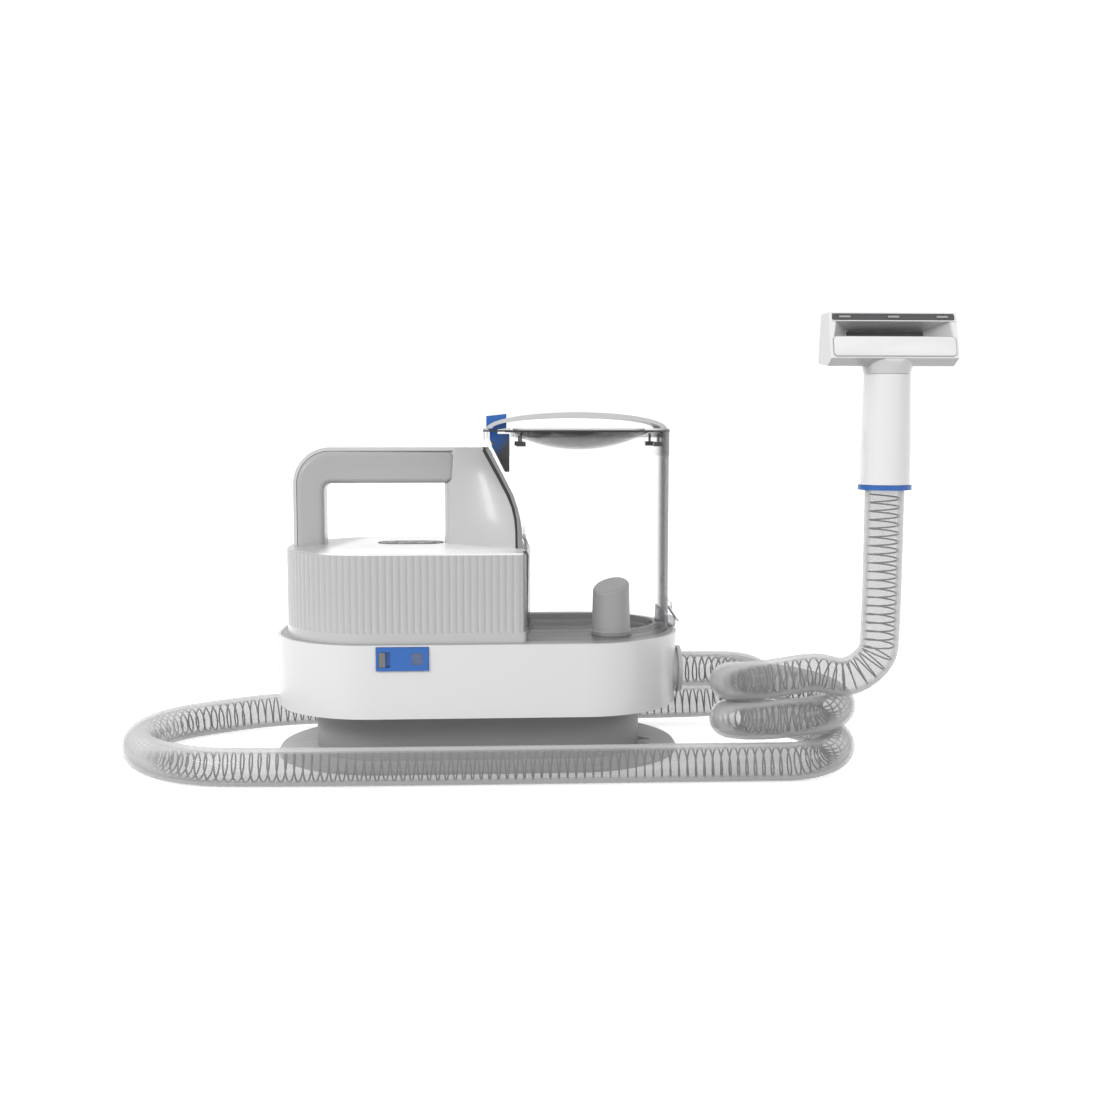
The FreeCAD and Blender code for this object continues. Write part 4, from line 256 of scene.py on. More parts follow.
finishes = {
    "pale_base": moulded("pale_base", (0.55, 0.55, 0.555), 0.35),
    "rubber_foot": moulded("rubber_foot", (0.035, 0.035, 0.037), 0.75, 0.00008, 1500, 0.15),
    "screw_steel": brushed_metal("screw_steel", (0.62, 0.62, 0.64), 0.35),
    "dark_neck": moulded("dark_neck", (0.26, 0.26, 0.265), 0.42, 0.00003, 1800, 0.04),
    "white_shell": moulded("white_shell", WHITE, 0.32, 0.000006, mottle=0.004, coat=0.15),
    "pale_grey": moulded("pale_grey", (0.355, 0.355, 0.36), 0.42, 0.00001, mottle=0.015),
    "dark_tray": moulded("dark_tray", (0.27, 0.27, 0.275), 0.4, 0.00002, mottle=0.03),
    "blue_plastic": moulded("blue_plastic", BLUE, 0.36, 0.00001, coat=0.05, mottle=0.04),
    "clear_window": clear_plastic("clear_window", (0.5, 0.55, 0.6), 0.25, 0.7, (0.8, 0.86, 0.92),
                                  (0.4, 0.5, 0.6)),
    "grey_shell": moulded("grey_shell", GREY, 0.22, 0.00001, mottle=0.015, coat=0.35),
    "dark_panel": moulded("dark_panel", (0.30, 0.30, 0.305), 0.55, 0.00001, mottle=0.02),
    "grey_button": moulded("grey_button", (0.32, 0.32, 0.325), 0.5, 0.00001, mottle=0.02),
    "dark_seal": moulded("dark_seal", (0.02, 0.02, 0.021), 0.6, 0.00006, 1500, 0.15),
    "clear_tank": clear_plastic("clear_tank", SMOKE, 0.016, 0.8, (1.0, 1.0, 1.0), (0.65, 0.65, 0.66), 0.04,
                                (0.5, 1.0), 0.65, 0.05),
    "riser_grey": moulded("riser_grey", (0.36, 0.36, 0.365), 0.35, 0.00001),
    "dark_cage": blended("dark_cage", BLUE, (0.06, 0.06, 0.065), 0.35, (1, 0, -1), -0.266, -0.246),
    "float_white": moulded("float_white", (0.7, 0.7, 0.69), 0.5, mottle=0.05),
    "wire_steel": brushed_metal("wire_steel", (0.72, 0.72, 0.74), 0.2),
    "clear_lid": clear_plastic("clear_lid", SMOKE, 0.12, 0.5, (0.97, 0.97, 0.97), (0.6, 0.6, 0.61), 0.05,
                               (0.4, 1.0), 0.7, 0.2),
    "smoke_dish": clear_plastic("smoke_dish", (0.24, 0.24, 0.245), 0.36, 0.55, (0.84, 0.84, 0.85),
                                (0.62, 0.62, 0.63), 0.08, (0.3, 0.95), 0.3),
    "white_gloss": moulded("white_gloss", (0.82, 0.82, 0.825), 0.2, 0.000006, mottle=0.01, coat=0.4),
    "dark_strip": moulded("dark_strip", (0.07, 0.07, 0.074), 0.6, 0.00004, 1800, 0.15),
    "pale_plate": moulded("pale_plate", (0.80, 0.80, 0.805), 0.35, 0.00001, mottle=0.01),
    "motor_steel": brushed_metal("motor_steel", (0.58, 0.58, 0.60), 0.35, (1, 1, 0.1)),
    "inner_plastic": moulded("inner_plastic", (0.16, 0.16, 0.165), 0.55, 0.00006, 1600, 0.08),
    "board_green": circuit_lacquer("board_green", (0.02, 0.16, 0.05)),
    "clear_inner": clear_plastic("clear_inner", (0.7, 0.74, 0.78), 0.15, 0.7, (0.9, 0.93, 0.96),
                                 (0.5, 0.55, 0.6)),
    "filter_foam": open_foam("filter_foam", (0.06, 0.06, 0.062)),
    "clear_hose": clear_plastic("clear_hose", (0.35, 0.35, 0.355), 0.44, 0.70, (0.99, 0.99, 0.99),
                                (0.97, 0.97, 0.975), 0.16, (0.2, 0.48), edge_colour=(0.62, 0.62, 0.625)),
    "hose_wire": moulded("hose_wire", (0.17, 0.17, 0.175), 0.25, 0.00001, coat=0.5),
}

# Pieces of the same plastic painted lighter or darker for the light they catch: painted light and painted
# shade. The cover is two-tone
own_finish = {
    # painted shade: the handle is a darker copy of the grey shell
    "carry_handle": moulded("handle_grey", (0.37, 0.37, 0.375), 0.3, 0.00001, mottle=0.015, coat=0.2),
    "handle_trim": moulded("trim_grey", (0.56, 0.56, 0.565), 0.25, 0.00001, mottle=0.01, coat=0.3),
    "hose_port": moulded("port_grey", (0.55, 0.55, 0.555), 0.35, 0.00001, mottle=0.015),
    "top_cover": blended("cover_two_tone", (0.42, 0.42, 0.425), (0.88, 0.88, 0.885), 0.3,
                         (0.98, -0.19, 0), -0.124, -0.108, 0.2),
    # painted light: the tray's upper wall and rim are lighter than the dark tray below
    "tank_tray": blended("tray_painted_light", (0.26, 0.26, 0.265), (0.66, 0.66, 0.665), 0.4, (0, 0, 1),
                         0.1008, 0.1045),
    # painted shade: the white head is grey behind its front face, on its sides, top and underside
    "tool_head": blended("head_painted_shade", (0.82, 0.82, 0.825), (0.62, 0.62, 0.625), 0.22,
                         (0, 0.9645, -0.264), -0.2461, -0.2449, 0.4),
    "tab_pin": brushed_metal("pin_dark", (0.12, 0.12, 0.125), 0.4),
    "slide_latch": moulded("latch_grey", (0.16, 0.16, 0.165), 0.4, 0.00001, mottle=0.02),
    # painted shade: the white arch, which sits in shade, is given a grey
    "lid_arch": moulded("arch_grey", (0.62, 0.62, 0.625), 0.3, 0.00001, mottle=0.01, coat=0.2),
}

slot_of = {part["node"]: part["material_slot"] for part in frame["record"]["subparts"]}
for name, node in nodes.items():
    node.data.materials.clear()
    node.data.materials.append(own_finish.get(name, finishes[slot_of[name]]))


def to_body(piece, body, slot):
    piece.data.materials.clear()
    piece.data.materials.append(finishes[slot])
    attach(piece, body)
    return piece


# Hose: one route from the port behind the machine, round its left end, along the front, twice round
# the loops at the right and up to the hand tool
HOSE_RADIUS = 0.016
HOSE_EXIT = (0.1715, -0.017, 0.073)
FLOOR_RUN = [
    (0.206, -0.017, 0.073),
    (0.240, -0.002, 0.070),
    (0.265, 0.023, 0.059),
    (0.270, 0.054, 0.041),
    (0.252, 0.080, 0.025),
    (0.214, 0.088, 0.0192),
    (-0.146, 0.087, 0.0192),
    (-0.204, 0.080, 0.018),
    (-0.250, 0.062, 0.0161),
    (-0.284, 0.034, 0.0161),
    (-0.300, -0.006, 0.0161),
    (-0.299, -0.050, 0.0161),
    (-0.280, -0.090, 0.0161),
    (-0.246, -0.120, 0.0161),
    (-0.200, -0.134, 0.0161),
    (0.240, -0.137, 0.0161),
]
RISER_RUN = [
    (0.280, -0.137, 0.0915),
    (0.296, -0.138, 0.0868),
    (0.308, -0.139, 0.088),
    (0.319, -0.1397, 0.0948),
    (0.3272, -0.1402, 0.1036),
    (0.3315, -0.140, 0.115),
    (0.3315, -0.140, 0.245),
]
LOOP_MIDDLE = (0.2615, -0.0905)
LOOP_RADIUS = 0.0474
LOOP_STEPS = 4
LOOP_HEIGHTS = [0.0161, 0.022, 0.033, 0.042, 0.0535, 0.0565, 0.0655, 0.0747, 0.0895]


def loop_points():
    """Two turns, counter-clockwise from above, that rise through the measured quarter-turn heights."""
    points = []
    for step in range(LOOP_STEPS * (len(LOOP_HEIGHTS) - 1) + 1):
        quarter, part = divmod(step, LOOP_STEPS)
        below = LOOP_HEIGHTS[quarter]
        above = LOOP_HEIGHTS[min(quarter + 1, len(LOOP_HEIGHTS) - 1)]
        angle = -pi / 2 + pi / 2 * step / LOOP_STEPS
        points.append((LOOP_MIDDLE[0] + LOOP_RADIUS * cos(angle), LOOP_MIDDLE[1] + LOOP_RADIUS * sin(angle),
                       below + (above - below) * part / LOOP_STEPS))
    return points


def hose_route():
    route = [HOSE_EXIT, *FLOOR_RUN, *loop_points(), *RISER_RUN]
    curve = bpy.data.curves.new("hose_route", "CURVE")
    curve.dimensions = "3D"
    curve.resolution_u = 16
    spline = curve.splines.new("NURBS")
    spline.points.add(len(route) - 1)
    for point, place in zip(spline.points, route):
        point.co = (*place, 1)
    spline.order_u = 3
    spline.use_endpoint_u = True
    guide = bpy.data.objects.new("hose_route", curve)
    bpy.context.scene.collection.objects.link(guide)
    bpy.context.view_layer.update()
    line = bpy.data.meshes.new_from_object(guide.evaluated_get(bpy.context.evaluated_depsgraph_get()))
    points = [vertex.co.copy() for vertex in line.vertices]
    bpy.data.objects.remove(guide)
    return points


def even_stations(points, step):
    """Places, directions and side vectors at even distances along the hose's line."""
    lengths = [0.0]
    for before, after in zip(points, points[1:]):
        lengths.append(lengths[-1] + (after - before).length)
    count = round(lengths[-1] / step)
    stations, at = [], 0
    for index in range(count + 1):
        goal = lengths[-1] * index / count
        while at < len(points) - 2 and lengths[at + 1] < goal:
            at += 1
        share = (goal - lengths[at]) / (lengths[at + 1] - lengths[at])
        stations.append(points[at].lerp(points[at + 1], share))
    ways = [(stations[min(i + 1, count)] - stations[max(i - 1, 0)]).normalized() for i in range(count + 1)]
    side = Vector((0, 0, 1)).cross(ways[0]).normalized()
    sides = []
    for way in ways:
        side = (side - way * side.dot(way)).normalized()
        sides.append(side)
    return stations, ways, sides, lengths[-1] / count


# The hose wall, drawn in a little between the turns of its wire
WIRE_PITCH = 0.0071
WIRE_RADIUS = 0.0125
WIRE_THICK = 0.0014
RINGS_PER_TURN = 4
HOSE_SIDES = 24
WALL_DIP = 0.00012


def mesh_piece(name, vertices, faces):
    mesh = bpy.data.meshes.new(name)
    mesh.from_pydata(vertices, [], faces)
    mesh.update()
    piece = bpy.data.objects.new(name, mesh)
    bpy.context.scene.collection.objects.link(piece)
    for face in mesh.polygons:
        face.use_smooth = True
    return piece


def tube_faces(rings, sides):
    faces = []
    for ring in range(rings - 1):
        for side in range(sides):
            near, far = ring * sides, (ring + 1) * sides
            after = (side + 1) % sides
            faces.append((near + side, near + after, far + after, far + side))
    faces.append(tuple(reversed(range(sides))))
    faces.append(tuple(range((rings - 1) * sides, rings * sides)))
    return faces


def make_hose_wall(line):
    stations, ways, sides, step = even_stations(line, WIRE_PITCH / RINGS_PER_TURN)
    vertices = []
    for ring, (place, way, side) in enumerate(zip(stations, ways, sides)):
        up = way.cross(side)
        for corner in range(HOSE_SIDES):
            angle = 2 * pi * corner / HOSE_SIDES
            dip = WALL_DIP * (0.5 - 0.5 * cos(2 * pi * ring * step / WIRE_PITCH - angle))
            vertices.append(place + (side * cos(angle) + up * sin(angle)) * (HOSE_RADIUS - dip))
    return mesh_piece("hose_wall", vertices, tube_faces(len(stations), HOSE_SIDES))


# The wire that keeps the hose open, one long spring from end to end
WIRE_STEPS = 14
WIRE_SIDES = 6


def make_hose_wire(line):
    stations, ways, sides, step = even_stations(line, WIRE_PITCH / WIRE_STEPS)
    middles = []
    for index, (place, way, side) in enumerate(zip(stations, ways, sides)):
        angle = 2 * pi * index * step / WIRE_PITCH
        middles.append(place + (side * cos(angle) + way.cross(side) * sin(angle)) * WIRE_RADIUS)
    middles = middles[WIRE_STEPS:-WIRE_STEPS]
    vertices = []
    for index, middle in enumerate(middles):
        ahead = (middles[min(index + 1, len(middles) - 1)] - middles[max(index - 1, 0)]).normalized()
        out = (middle - stations[index + WIRE_STEPS])
        out = (out - ahead * out.dot(ahead)).normalized()
        across = ahead.cross(out)
        for corner in range(WIRE_SIDES):
            angle = 2 * pi * corner / WIRE_SIDES
            vertices.append(middle + (out * cos(angle) + across * sin(angle)) * WIRE_THICK / 2)
    return mesh_piece("hose_wire", vertices, tube_faces(len(middles), WIRE_SIDES))


hose_line = hose_route()
hose_length = sum((after - before).length for before, after in zip(hose_line, hose_line[1:]))
print("hose length", round(hose_length, 4))
hose_wall = to_body(make_hose_wall(hose_line), "machine", "clear_hose")
hose_wire = to_body(make_hose_wire(hose_line), "machine", "hose_wire")
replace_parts(hose_wall, "hose_run", "hose_loops", "hose_riser")
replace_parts(hose_wire, "front_wire", "riser_wire")


# Modelling helpers: a block to start from, and picking faces and edges by where they are
SMOOTH_ANGLE = 30


def start_block(name, low, high):
    bpy.ops.object.select_all(action="DESELECT")
    middle = [(a + b) / 2 for a, b in zip(low, high)]
    bpy.ops.mesh.primitive_cube_add(size=1, location=middle, scale=[b - a for a, b in zip(low, high)])
    piece = bpy.context.object
    piece.name = name
    piece.data.name = name
    bpy.ops.object.transform_apply(location=True, rotation=True, scale=True)
    return piece


def pick_edges(piece, wanted):
    """Selects the edges for which wanted(middle, direction) is true, in edit mode."""
    bpy.ops.mesh.select_mode(type="EDGE")
    bpy.ops.mesh.select_all(action="DESELECT")
    mesh = bmesh.from_edit_mesh(piece.data)
    for edge in mesh.edges:
        first, second = (corner.co for corner in edge.verts)
        edge.select = wanted((first + second) / 2, (second - first).normalized())
    bmesh.update_edit_mesh(piece.data)


def pick_faces(piece, wanted):
    """Selects the faces for which wanted(middle, normal) is true, in edit mode."""
    bpy.ops.mesh.select_mode(type="FACE")
    bpy.ops.mesh.select_all(action="DESELECT")
    mesh = bmesh.from_edit_mesh(piece.data)
    for face in mesh.faces:
        face.select = wanted(face.calc_center_median(), face.normal)
    bmesh.update_edit_mesh(piece.data)


def edit(piece):
    bpy.context.view_layer.objects.active = piece
    bpy.ops.object.mode_set(mode="EDIT")


def leave_edit():
    bpy.ops.object.mode_set(mode="OBJECT")
    bpy.ops.object.shade_smooth_by_angle(angle=radians(SMOOTH_ANGLE))


def open_into_ring(piece, thickness):
    """Takes the block's top and bottom away and gives the ring that is left a thickness inwards."""
    pick_faces(piece, lambda middle, normal: abs(normal.z) > 0.9)
    bpy.ops.mesh.delete(type="FACE")
    leave_edit()
    wall = piece.modifiers.new("thickness", "SOLIDIFY")
    wall.thickness = thickness
    wall.offset = -1
    bpy.ops.object.modifier_apply(modifier="thickness")


# Hand tool's front: pale plate with a dark rim behind it, painted shade for the gap round it, tabs on the
# brush strip, shade behind the slot
TOOL_X = 0.3315
FACE_LOW = Vector((TOOL_X, -0.161, 0.3475))
FACE_HIGH = Vector((TOOL_X, -0.151, 0.384))
FACE_WAY = (FACE_HIGH - FACE_LOW).normalized()
FACE_LEAN = FACE_WAY.angle(Vector((0, 0, 1)))
PLATE_WIDTH = 0.0985
PLATE_HEIGHT = 0.0158
PLATE_ROUND = 0.0028

# Heights along the sloped face
PLATE_ALONG = 0.0094
LIP_ALONG = 0.0305
STRIP_ALONG = 0.0334
TAB_ALONG = 0.0338
TAB_SPACING = 0.0395


def lean_on_face(along):
    """Leans the piece in edit mode, made upright round the origin, onto the tool's sloped face."""
    bpy.ops.mesh.select_all(action="SELECT")
    bpy.ops.transform.rotate(value=FACE_LEAN, orient_axis="X", center_override=(0, 0, 0))
    bpy.ops.transform.translate(value=FACE_LOW + FACE_WAY * along)


def make_face_plate(name, grow, thick, slot):
    half, high = PLATE_WIDTH / 2 + grow, PLATE_HEIGHT / 2 + grow
    plate = start_block(name, (-half, -thick, -high), (half, 0, high))
    edit(plate)
    pick_edges(plate, lambda middle, way: abs(way.y) > 0.9)
    bpy.ops.mesh.bevel(offset=PLATE_ROUND + grow, segments=6, affect="EDGES")
    pick_faces(plate, lambda middle, normal: normal.y < -0.9)
    bpy.ops.mesh.inset(thickness=0.0004)
    bpy.ops.transform.translate(value=(0, -0.0002, 0))
    lean_on_face(PLATE_ALONG)
    leave_edit()
    return to_body(plate, "head", slot)


def make_brush_strip():
    """The dark brush strip with rounded ends, and the pale lip that runs under it."""
    strip = start_block("brush_inlay", (-0.0492, -0.0008, -0.0023), (0.0492, 0.0012, 0.0023))
    edit(strip)
    pick_edges(strip, lambda middle, way: abs(way.y) > 0.9)
    bpy.ops.mesh.bevel(offset=0.0016, segments=5, affect="EDGES")
    pick_faces(strip, lambda middle, normal: normal.y < -0.9)
    bpy.ops.mesh.inset(thickness=0.0004)
    bpy.ops.transform.translate(value=(0, 0.0003, 0))
    lean_on_face(STRIP_ALONG)
    leave_edit()
    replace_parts(to_body(strip, "head", "dark_strip"), "brush_strip")
    lip = start_block("strip_lip", (-0.0494, -0.0011, -0.0004), (0.0494, 0.0004, 0.0004))
    edit(lip)
    pick_edges(lip, lambda middle, way: abs(way.x) > 0.9 and middle.y < 0)
    bpy.ops.mesh.bevel(offset=0.0003, segments=3, affect="EDGES")
    lean_on_face(LIP_ALONG)
    leave_edit()
    to_body(lip, "head", "white_gloss")


def make_strip_tabs():
    for index, across in enumerate((-TAB_SPACING, 0, TAB_SPACING)):
        tab = start_block(f"strip_tab_{index + 1}", (across - 0.0046, -0.0012, -0.0008),
                          (across + 0.0046, 0, 0.0008))
        edit(tab)
        pick_edges(tab, lambda middle, way: abs(way.y) > 0.9)
        bpy.ops.mesh.bevel(offset=0.0005, segments=3, affect="EDGES")
        lean_on_face(TAB_ALONG)
        leave_edit()
        to_body(tab, "head", "pale_grey")


def make_slot_shade():
    """The dark inside of the suction slot, seen through the mouth."""
    shade = start_block("slot_shade", (TOOL_X - 0.0315, -0.1315, 0.3575), (TOOL_X + 0.0315, -0.1305, 0.3702))
    edit(shade)
    pick_edges(shade, lambda middle, way: abs(way.y) > 0.9)
    bpy.ops.mesh.bevel(offset=0.001, segments=3, affect="EDGES")
    leave_edit()
    return to_body(shade, "head", "dark_strip")


# painted shade: a dark sheet just larger than the plate, for the shaded gap round it
make_face_plate("plate_gap_shade", 0.0005, 0.0005, "dark_neck")
tool_plate = make_face_plate("tool_plate", 0.0, 0.0008, "pale_plate")
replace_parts(tool_plate, "head_plate")
make_brush_strip()
make_strip_tabs()
make_slot_shade()


# Carry handle: one leg up from the cover and one bar across to the tower, soft on the side of the hand
HANDLE_LEFT, HANDLE_POST, HANDLE_RIGHT = -0.1616, -0.1370, -0.007
HANDLE_LOW, HANDLE_BAR, HANDLE_TOP = 0.1868, 0.2430, 0.2720
HANDLE_HALF = 0.017


def make_handle():
    loop = start_block("handle_loop", (HANDLE_LEFT, -HANDLE_HALF, HANDLE_LOW),
                       (HANDLE_POST, HANDLE_HALF, HANDLE_BAR))
    edit(loop)
    pick_faces(loop, lambda middle, normal: normal.z > 0.9)
    bpy.ops.mesh.extrude_region_move(TRANSFORM_OT_translate={"value": (0, 0, HANDLE_TOP - HANDLE_BAR)})
    pick_faces(loop, lambda middle, normal: normal.x > 0.9 and middle.z > HANDLE_BAR)
    bpy.ops.mesh.extrude_region_move(TRANSFORM_OT_translate={"value": (HANDLE_RIGHT - HANDLE_POST, 0, 0)})
    bpy.ops.mesh.select_all(action="SELECT")
    bpy.ops.mesh.dissolve_limited(angle_limit=radians(1))
    pick_edges(loop, lambda middle, way: abs(way.y) > 0.9 and middle.x < HANDLE_LEFT + 0.001
               and middle.z > HANDLE_TOP - 0.001)
    bpy.ops.mesh.bevel(offset=0.030, segments=20, affect="EDGES")
    pick_edges(loop, lambda middle, way: abs(way.y) > 0.9 and abs(middle.x - HANDLE_POST) < 0.001
               and abs(middle.z - HANDLE_BAR) < 0.001)
    bpy.ops.mesh.bevel(offset=0.0065, segments=10, affect="EDGES")

    def along_loop(middle, way):
        at_side = abs(abs(middle.y) - HANDLE_HALF) < 0.0001
        return at_side and middle.z > HANDLE_LOW + 0.0001 and middle.x < HANDLE_RIGHT - 0.0001

    def towards_hand(middle, way):
        return along_loop(middle, way) and middle.x > HANDLE_POST - 0.0001 and middle.z < HANDLE_BAR + 0.0001

    pick_edges(loop, lambda middle, way: along_loop(middle, way) and not towards_hand(middle, way))
    bpy.ops.mesh.bevel(offset=0.005, segments=6, affect="EDGES")
    pick_edges(loop, towards_hand)
    bpy.ops.mesh.bevel(offset=0.006, segments=8, affect="EDGES")
    pick_faces(loop, lambda middle, normal: normal.x > 0.9 and middle.x > HANDLE_RIGHT - 0.0001)
    bpy.ops.transform.resize(value=(1, 0.8, 1), center_override=(HANDLE_RIGHT, 0, HANDLE_BAR))
    leave_edit()
    return to_body(loop, "machine", "grey_shell")


handle_loop = make_handle()
handle_loop.data.materials[0] = own_finish["carry_handle"]
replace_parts(handle_loop, "carry_handle")


# Tank's left edges: two smoked lines that follow the leaning wall, and one down beside the motor cover.
# Each row holds a height and the places across at that height
EDGE_ROWS = [
    (0.2740, 0.0036, 0.0068, 0.0105),
    (0.2680, 0.0067, 0.0100, 0.0135),
    (0.2527, 0.0150, 0.0183, 0.0215),
    (0.2360, 0.0238, 0.0268, 0.0300),
    (0.2250, 0.0283, 0.0307, 0.0335),
    (0.2147, 0.0306, 0.0326, 0.0358),
    (0.2050, 0.0314, 0.0332, 0.0370),
    (0.1905, 0.0316, 0.0334, 0.0374),
]
CORNER_ROWS = [
    (0.1880, 0.0375, 0.0410),
    (0.1850, 0.0410, 0.0428),
    (0.1500, 0.0410, 0.0422),
    (0.1200, 0.0410, 0.0418),
]
BAND_INNER, BAND_OUTER = 0.0860, 0.0888


def make_edge_band(name, rows, near, far, slot):
    """An upright band whose left and right sides follow rows of height, left and right."""
    high, low = rows[0][0], rows[-1][0]
    band = start_block(name, (0.0, near, low), (0.01, far, high))
    edit(band)
    for height, _, _ in rows[1:-1]:
        bpy.ops.mesh.select_all(action="SELECT")
        bpy.ops.mesh.bisect(plane_co=(0, 0, height), plane_no=(0, 0, 1))
    mesh = bmesh.from_edit_mesh(band.data)
    for corner in mesh.verts:
        height, left, right = min(rows, key=lambda row: abs(row[0] - corner.co.z))
        corner.co.x = left if corner.co.x < 0.005 else right
    bmesh.update_edit_mesh(band.data)
    pick_edges(band, lambda middle, way: abs(way.y) < 0.1 and abs(way.z) > 0.2)
    bpy.ops.mesh.bevel(offset=0.0003, segments=2, affect="EDGES")
    leave_edit()
    return to_body(band, "tank", slot)


for side, near, far in (("front", -BAND_OUTER, -BAND_INNER), ("rear", BAND_INNER, BAND_OUTER)):
    make_edge_band(f"tank_edge_dark_{side}", [(z, left, middle) for z, left, middle, right in EDGE_ROWS],
                   near, far, "dark_seal")
    make_edge_band(f"tank_edge_smoke_{side}", [(z, middle, right) for z, left, middle, right in EDGE_ROWS],
                   near, far, "dark_neck")
    make_edge_band(f"tank_corner_{side}", CORNER_ROWS, near, far, "dark_strip")


# Collar that seals the riser into the tank's floor, and the raised rim round the control panel
RISER_X, RISER_Y = 0.117, -0.05
COLLAR_RADIUS, COLLAR_HEIGHT, COLLAR_MIDDLE = 0.0174, 0.0038, 0.1131


def make_riser_collar():
    bpy.ops.object.select_all(action="DESELECT")
    bpy.ops.mesh.primitive_cylinder_add(vertices=48, radius=COLLAR_RADIUS, depth=COLLAR_HEIGHT,
                                        location=(RISER_X, RISER_Y, COLLAR_MIDDLE))
    collar = bpy.context.object
    collar.name = collar.data.name = "riser_collar"
    bpy.ops.object.transform_apply(location=True, rotation=True, scale=True)
    edit(collar)
    pick_faces(collar, lambda middle, normal: abs(normal.z) > 0.9)
    bpy.ops.mesh.inset(thickness=0.0030)
    bpy.ops.mesh.bridge_edge_loops()
    pick_edges(collar, lambda middle, way: abs(way.z) < 0.1 and middle.z > COLLAR_MIDDLE + 0.0018
               and ((middle.x - RISER_X) ** 2 + (middle.y - RISER_Y) ** 2) ** 0.5 > COLLAR_RADIUS - 0.0009)
    bpy.ops.mesh.bevel(offset=0.0005, segments=3, affect="EDGES")
    leave_edit()
    return to_body(collar, "tank", "riser_grey")


def make_panel_rim():
    rim = start_block("panel_rim", (-0.0907, -0.0162, 0.1880), (-0.0313, 0.0162, 0.1889))
    edit(rim)
    pick_edges(rim, lambda middle, way: abs(way.z) > 0.9)
    bpy.ops.mesh.bevel(offset=0.0161, segments=20, affect="EDGES")
    open_into_ring(rim, 0.0010)
    return to_body(rim, "machine", "dark_seal")


make_riser_collar()
make_panel_rim()


# Clear catch at the tank's lower right: a foot outside the wall and a rib inside it
def make_catch():
    foot = start_block("catch_foot", (0.1727, -0.0065, 0.1104), (0.1815, 0.0065, 0.1200))
    edit(foot)
    pick_edges(foot, lambda middle, way: abs(way.y) > 0.9 and middle.x > 0.18 and middle.z > 0.115)
    bpy.ops.mesh.bevel(offset=0.0045, segments=8, affect="EDGES")
    pick_edges(foot, lambda middle, way: abs(middle.y) > 0.006)
    bpy.ops.mesh.bevel(offset=0.0006, segments=2, affect="EDGES")
    leave_edit()
    to_body(foot, "tank", "smoke_dish")
    rib = start_block("catch_rib", (0.1632, -0.0045, 0.1142), (0.1702, 0.0045, 0.1300))
    edit(rib)
    pick_edges(rib, lambda middle, way: abs(way.y) > 0.9 and middle.x > 0.169 and middle.z > 0.12)
    bpy.ops.mesh.bevel(offset=0.0050, segments=1, affect="EDGES")
    pick_edges(rib, lambda middle, way: abs(middle.y) > 0.004)
    bpy.ops.mesh.bevel(offset=0.0005, segments=2, affect="EDGES")
    leave_edit()
    to_body(rib, "tank", "smoke_dish")


make_catch()


# Low wedge ribs on the base plate at both ends of the neck
RIB_INNER, RIB_OUTER = 0.142, 0.160


def make_base_ribs():
    for end, reach in (("left", -1), ("right", 1)):
        for row, across in enumerate((-0.018, 0.004)):
            near, far = sorted((reach * RIB_INNER, reach * RIB_OUTER))
            rib = start_block(f"base_rib_{end}_{row + 1}", (near, across - 0.001, 0.0029),
                              (far, across + 0.001, 0.007))
            edit(rib)
            pick_edges(rib, lambda middle, way: abs(way.y) > 0.9 and middle.z > 0.006
                       and abs(middle.x) > RIB_OUTER - 0.005)
            bpy.ops.transform.translate(value=(0, 0, -0.0035))
            pick_edges(rib, lambda middle, way: middle.z > 0.0032)
            bpy.ops.mesh.bevel(offset=0.0004, segments=2, affect="EDGES")
            leave_edit()
            to_body(rib, "machine", "pale_base")


make_base_ribs()


# Dark gasket line where the lid meets the tank
LID_LEFT, LID_RIGHT, LID_HALF = 0.0055, 0.173, 0.0885
LID_CORNER_LEFT, LID_CORNER_RIGHT = 0.012, 0.080


def make_lid_gasket():
    proud = 0.0002
    gasket = start_block("lid_gasket", (LID_LEFT - proud, -LID_HALF - proud, 0.2890),
                         (LID_RIGHT + proud, LID_HALF + proud, 0.2903))
    edit(gasket)
    for corner, side in ((LID_CORNER_LEFT, -1), (LID_CORNER_RIGHT, 1)):
        middle_x = (LID_LEFT + LID_RIGHT) / 2
        pick_edges(gasket, lambda middle, way: abs(way.z) > 0.9 and (middle.x - middle_x) * side > 0.05
                   and abs(middle.y) > 0.08)
        bpy.ops.mesh.bevel(offset=corner, segments=24, affect="EDGES")
    open_into_ring(gasket, 0.0012)
    return to_body(gasket, "lid", "dark_seal")


make_lid_gasket()


# Pale studio floor
FLOOR_RADIUS = 14
FLOOR_HEIGHT = -0.0004
FLOOR_GLOW = 0.6


def make_floor():
    bpy.ops.object.select_all(action="DESELECT")
    bpy.ops.mesh.primitive_circle_add(vertices=96, radius=FLOOR_RADIUS, fill_type="NGON",
                                      location=(0, 0, FLOOR_HEIGHT))
    floor = bpy.context.object
    floor.name = "studio_floor"
    material, tree = blank_material("studio_floor")
    surface = add_node(tree, "ShaderNodeBsdfPrincipled", Roughness=0.9)
    surface.inputs["Emission Color"].default_value = (1, 1, 1, 1)
    surface.inputs["Emission Strength"].default_value = FLOOR_GLOW
    link(tree, shades(tree, noise(tree, object_place(tree), 3), (0.94, 0.94, 0.94), (0.96, 0.96, 0.96)),
         surface.inputs["Base Color"])
    finish_surface(tree, surface.outputs["BSDF"])
    floor.data.materials.append(material)
    floor.visible_diffuse = False


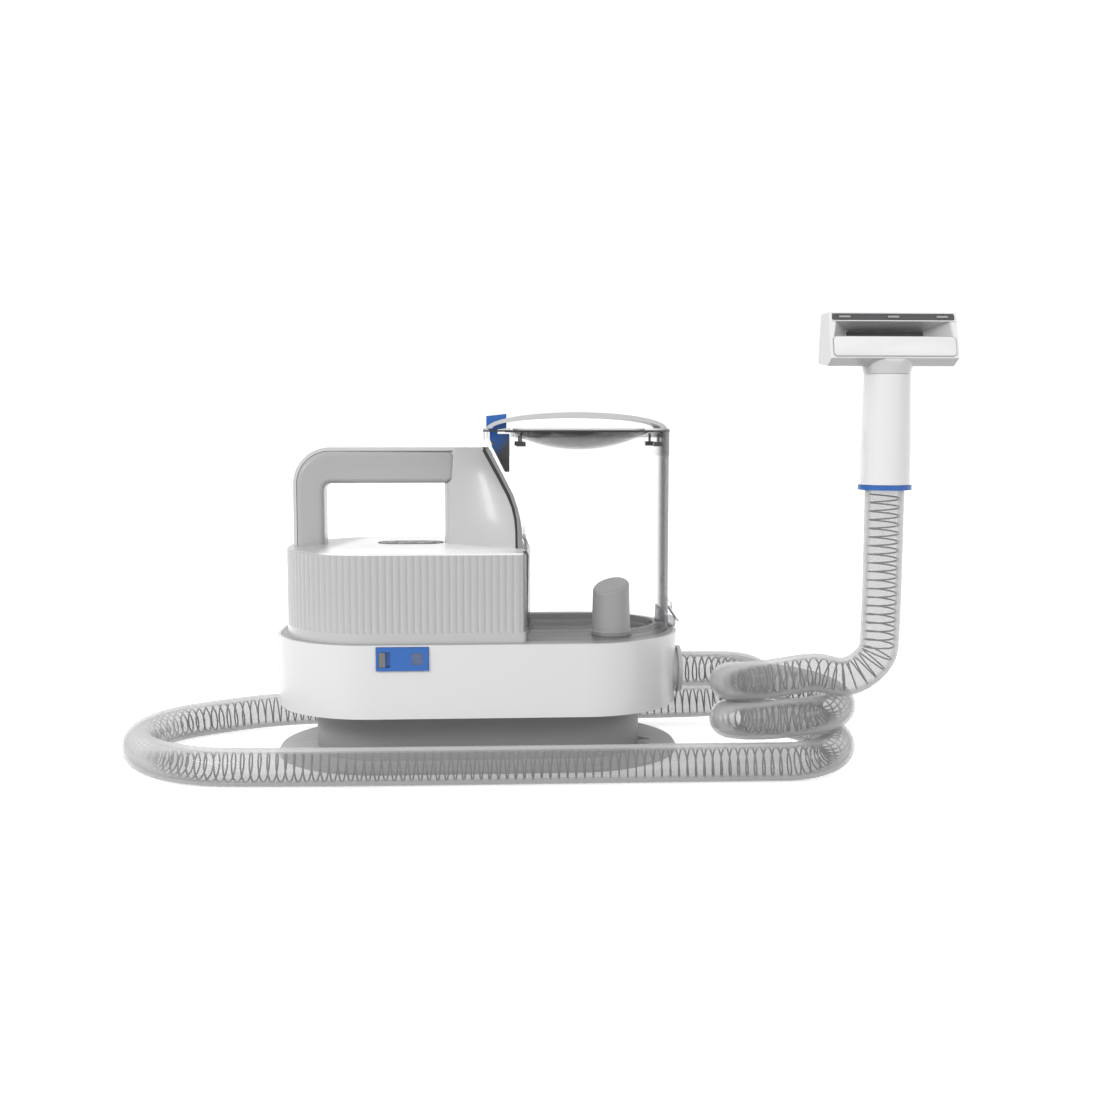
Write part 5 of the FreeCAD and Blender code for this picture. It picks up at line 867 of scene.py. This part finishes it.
# Soft lamps: the narrow strip draws the highlight on the tower, the large ones beside it give the light
def add_lamp(name, place, aim, width, height, power, mirrored=True):
    data = bpy.data.lights.new(name, "AREA")
    data.shape = "RECTANGLE"
    data.size = width
    data.size_y = height
    data.energy = power
    lamp = bpy.data.objects.new(name, data)
    lamp.location = place
    lamp.visible_camera = False
    lamp.visible_glossy = mirrored
    lamp.rotation_euler = (Vector(aim) - Vector(place)).to_track_quat("-Z", "Y").to_euler()
    bpy.context.scene.collection.objects.link(lamp)


make_floor()
add_lamp("key_strip", (-0.75, -0.75, 0.62), (0.0, 0.0, 0.1), 0.5, 0.08, 1.1)
add_lamp("key_softbox", (-0.76, -0.76, 0.63), (0.0, 0.0, 0.1), 0.7, 0.3, 4.4, mirrored=False)
add_lamp("fill_softbox", (1.3, -1.5, 0.9), (0.2, 0, 0.15), 0.8, 0.6, 8)
add_lamp("top_softbox", (-0.2, 1.0, 2.0), (0, 0, 0.1), 1.2, 0.8, 5)


# White backdrop behind the machine, dimmer light in front of it that comes mostly from the left, and
# little from below
def make_studio_light(backdrop, left, right, below):
    world = bpy.data.worlds.new("studio")
    world.use_nodes = True
    tree = world.node_tree
    place = add_node(tree, "ShaderNodeTexCoord")
    parts = add_node(tree, "ShaderNodeSeparateXYZ")
    link(tree, place.outputs["Generated"], parts.inputs["Vector"])

    def part_of_room(way, first, last, low, high):
        share = add_node(tree, "ShaderNodeMapRange", interpolation_type="SMOOTHSTEP")
        share.inputs["From Min"].default_value, share.inputs["From Max"].default_value = first, last
        for socket, value in (("To Min", low), ("To Max", high)):
            if isinstance(value, float):
                share.inputs[socket].default_value = value
            else:
                link(tree, value, share.inputs[socket])
        link(tree, parts.outputs[way], share.inputs["Value"])
        return share.outputs["Result"]

    front = part_of_room("X", -0.7, 0.8, left, right)
    around = part_of_room("Y", -0.2, 0.5, front, backdrop)
    light = tree.nodes["Background"]
    light.inputs["Color"].default_value = (1, 1, 1, 1)
    link(tree, part_of_room("Z", -0.4, 0.0, below, around), light.inputs["Strength"])
    return world


bpy.context.scene.world = make_studio_light(backdrop=1.08, left=0.98, right=0.62, below=0.30)
bpy.context.scene.view_settings.view_transform = "Standard"
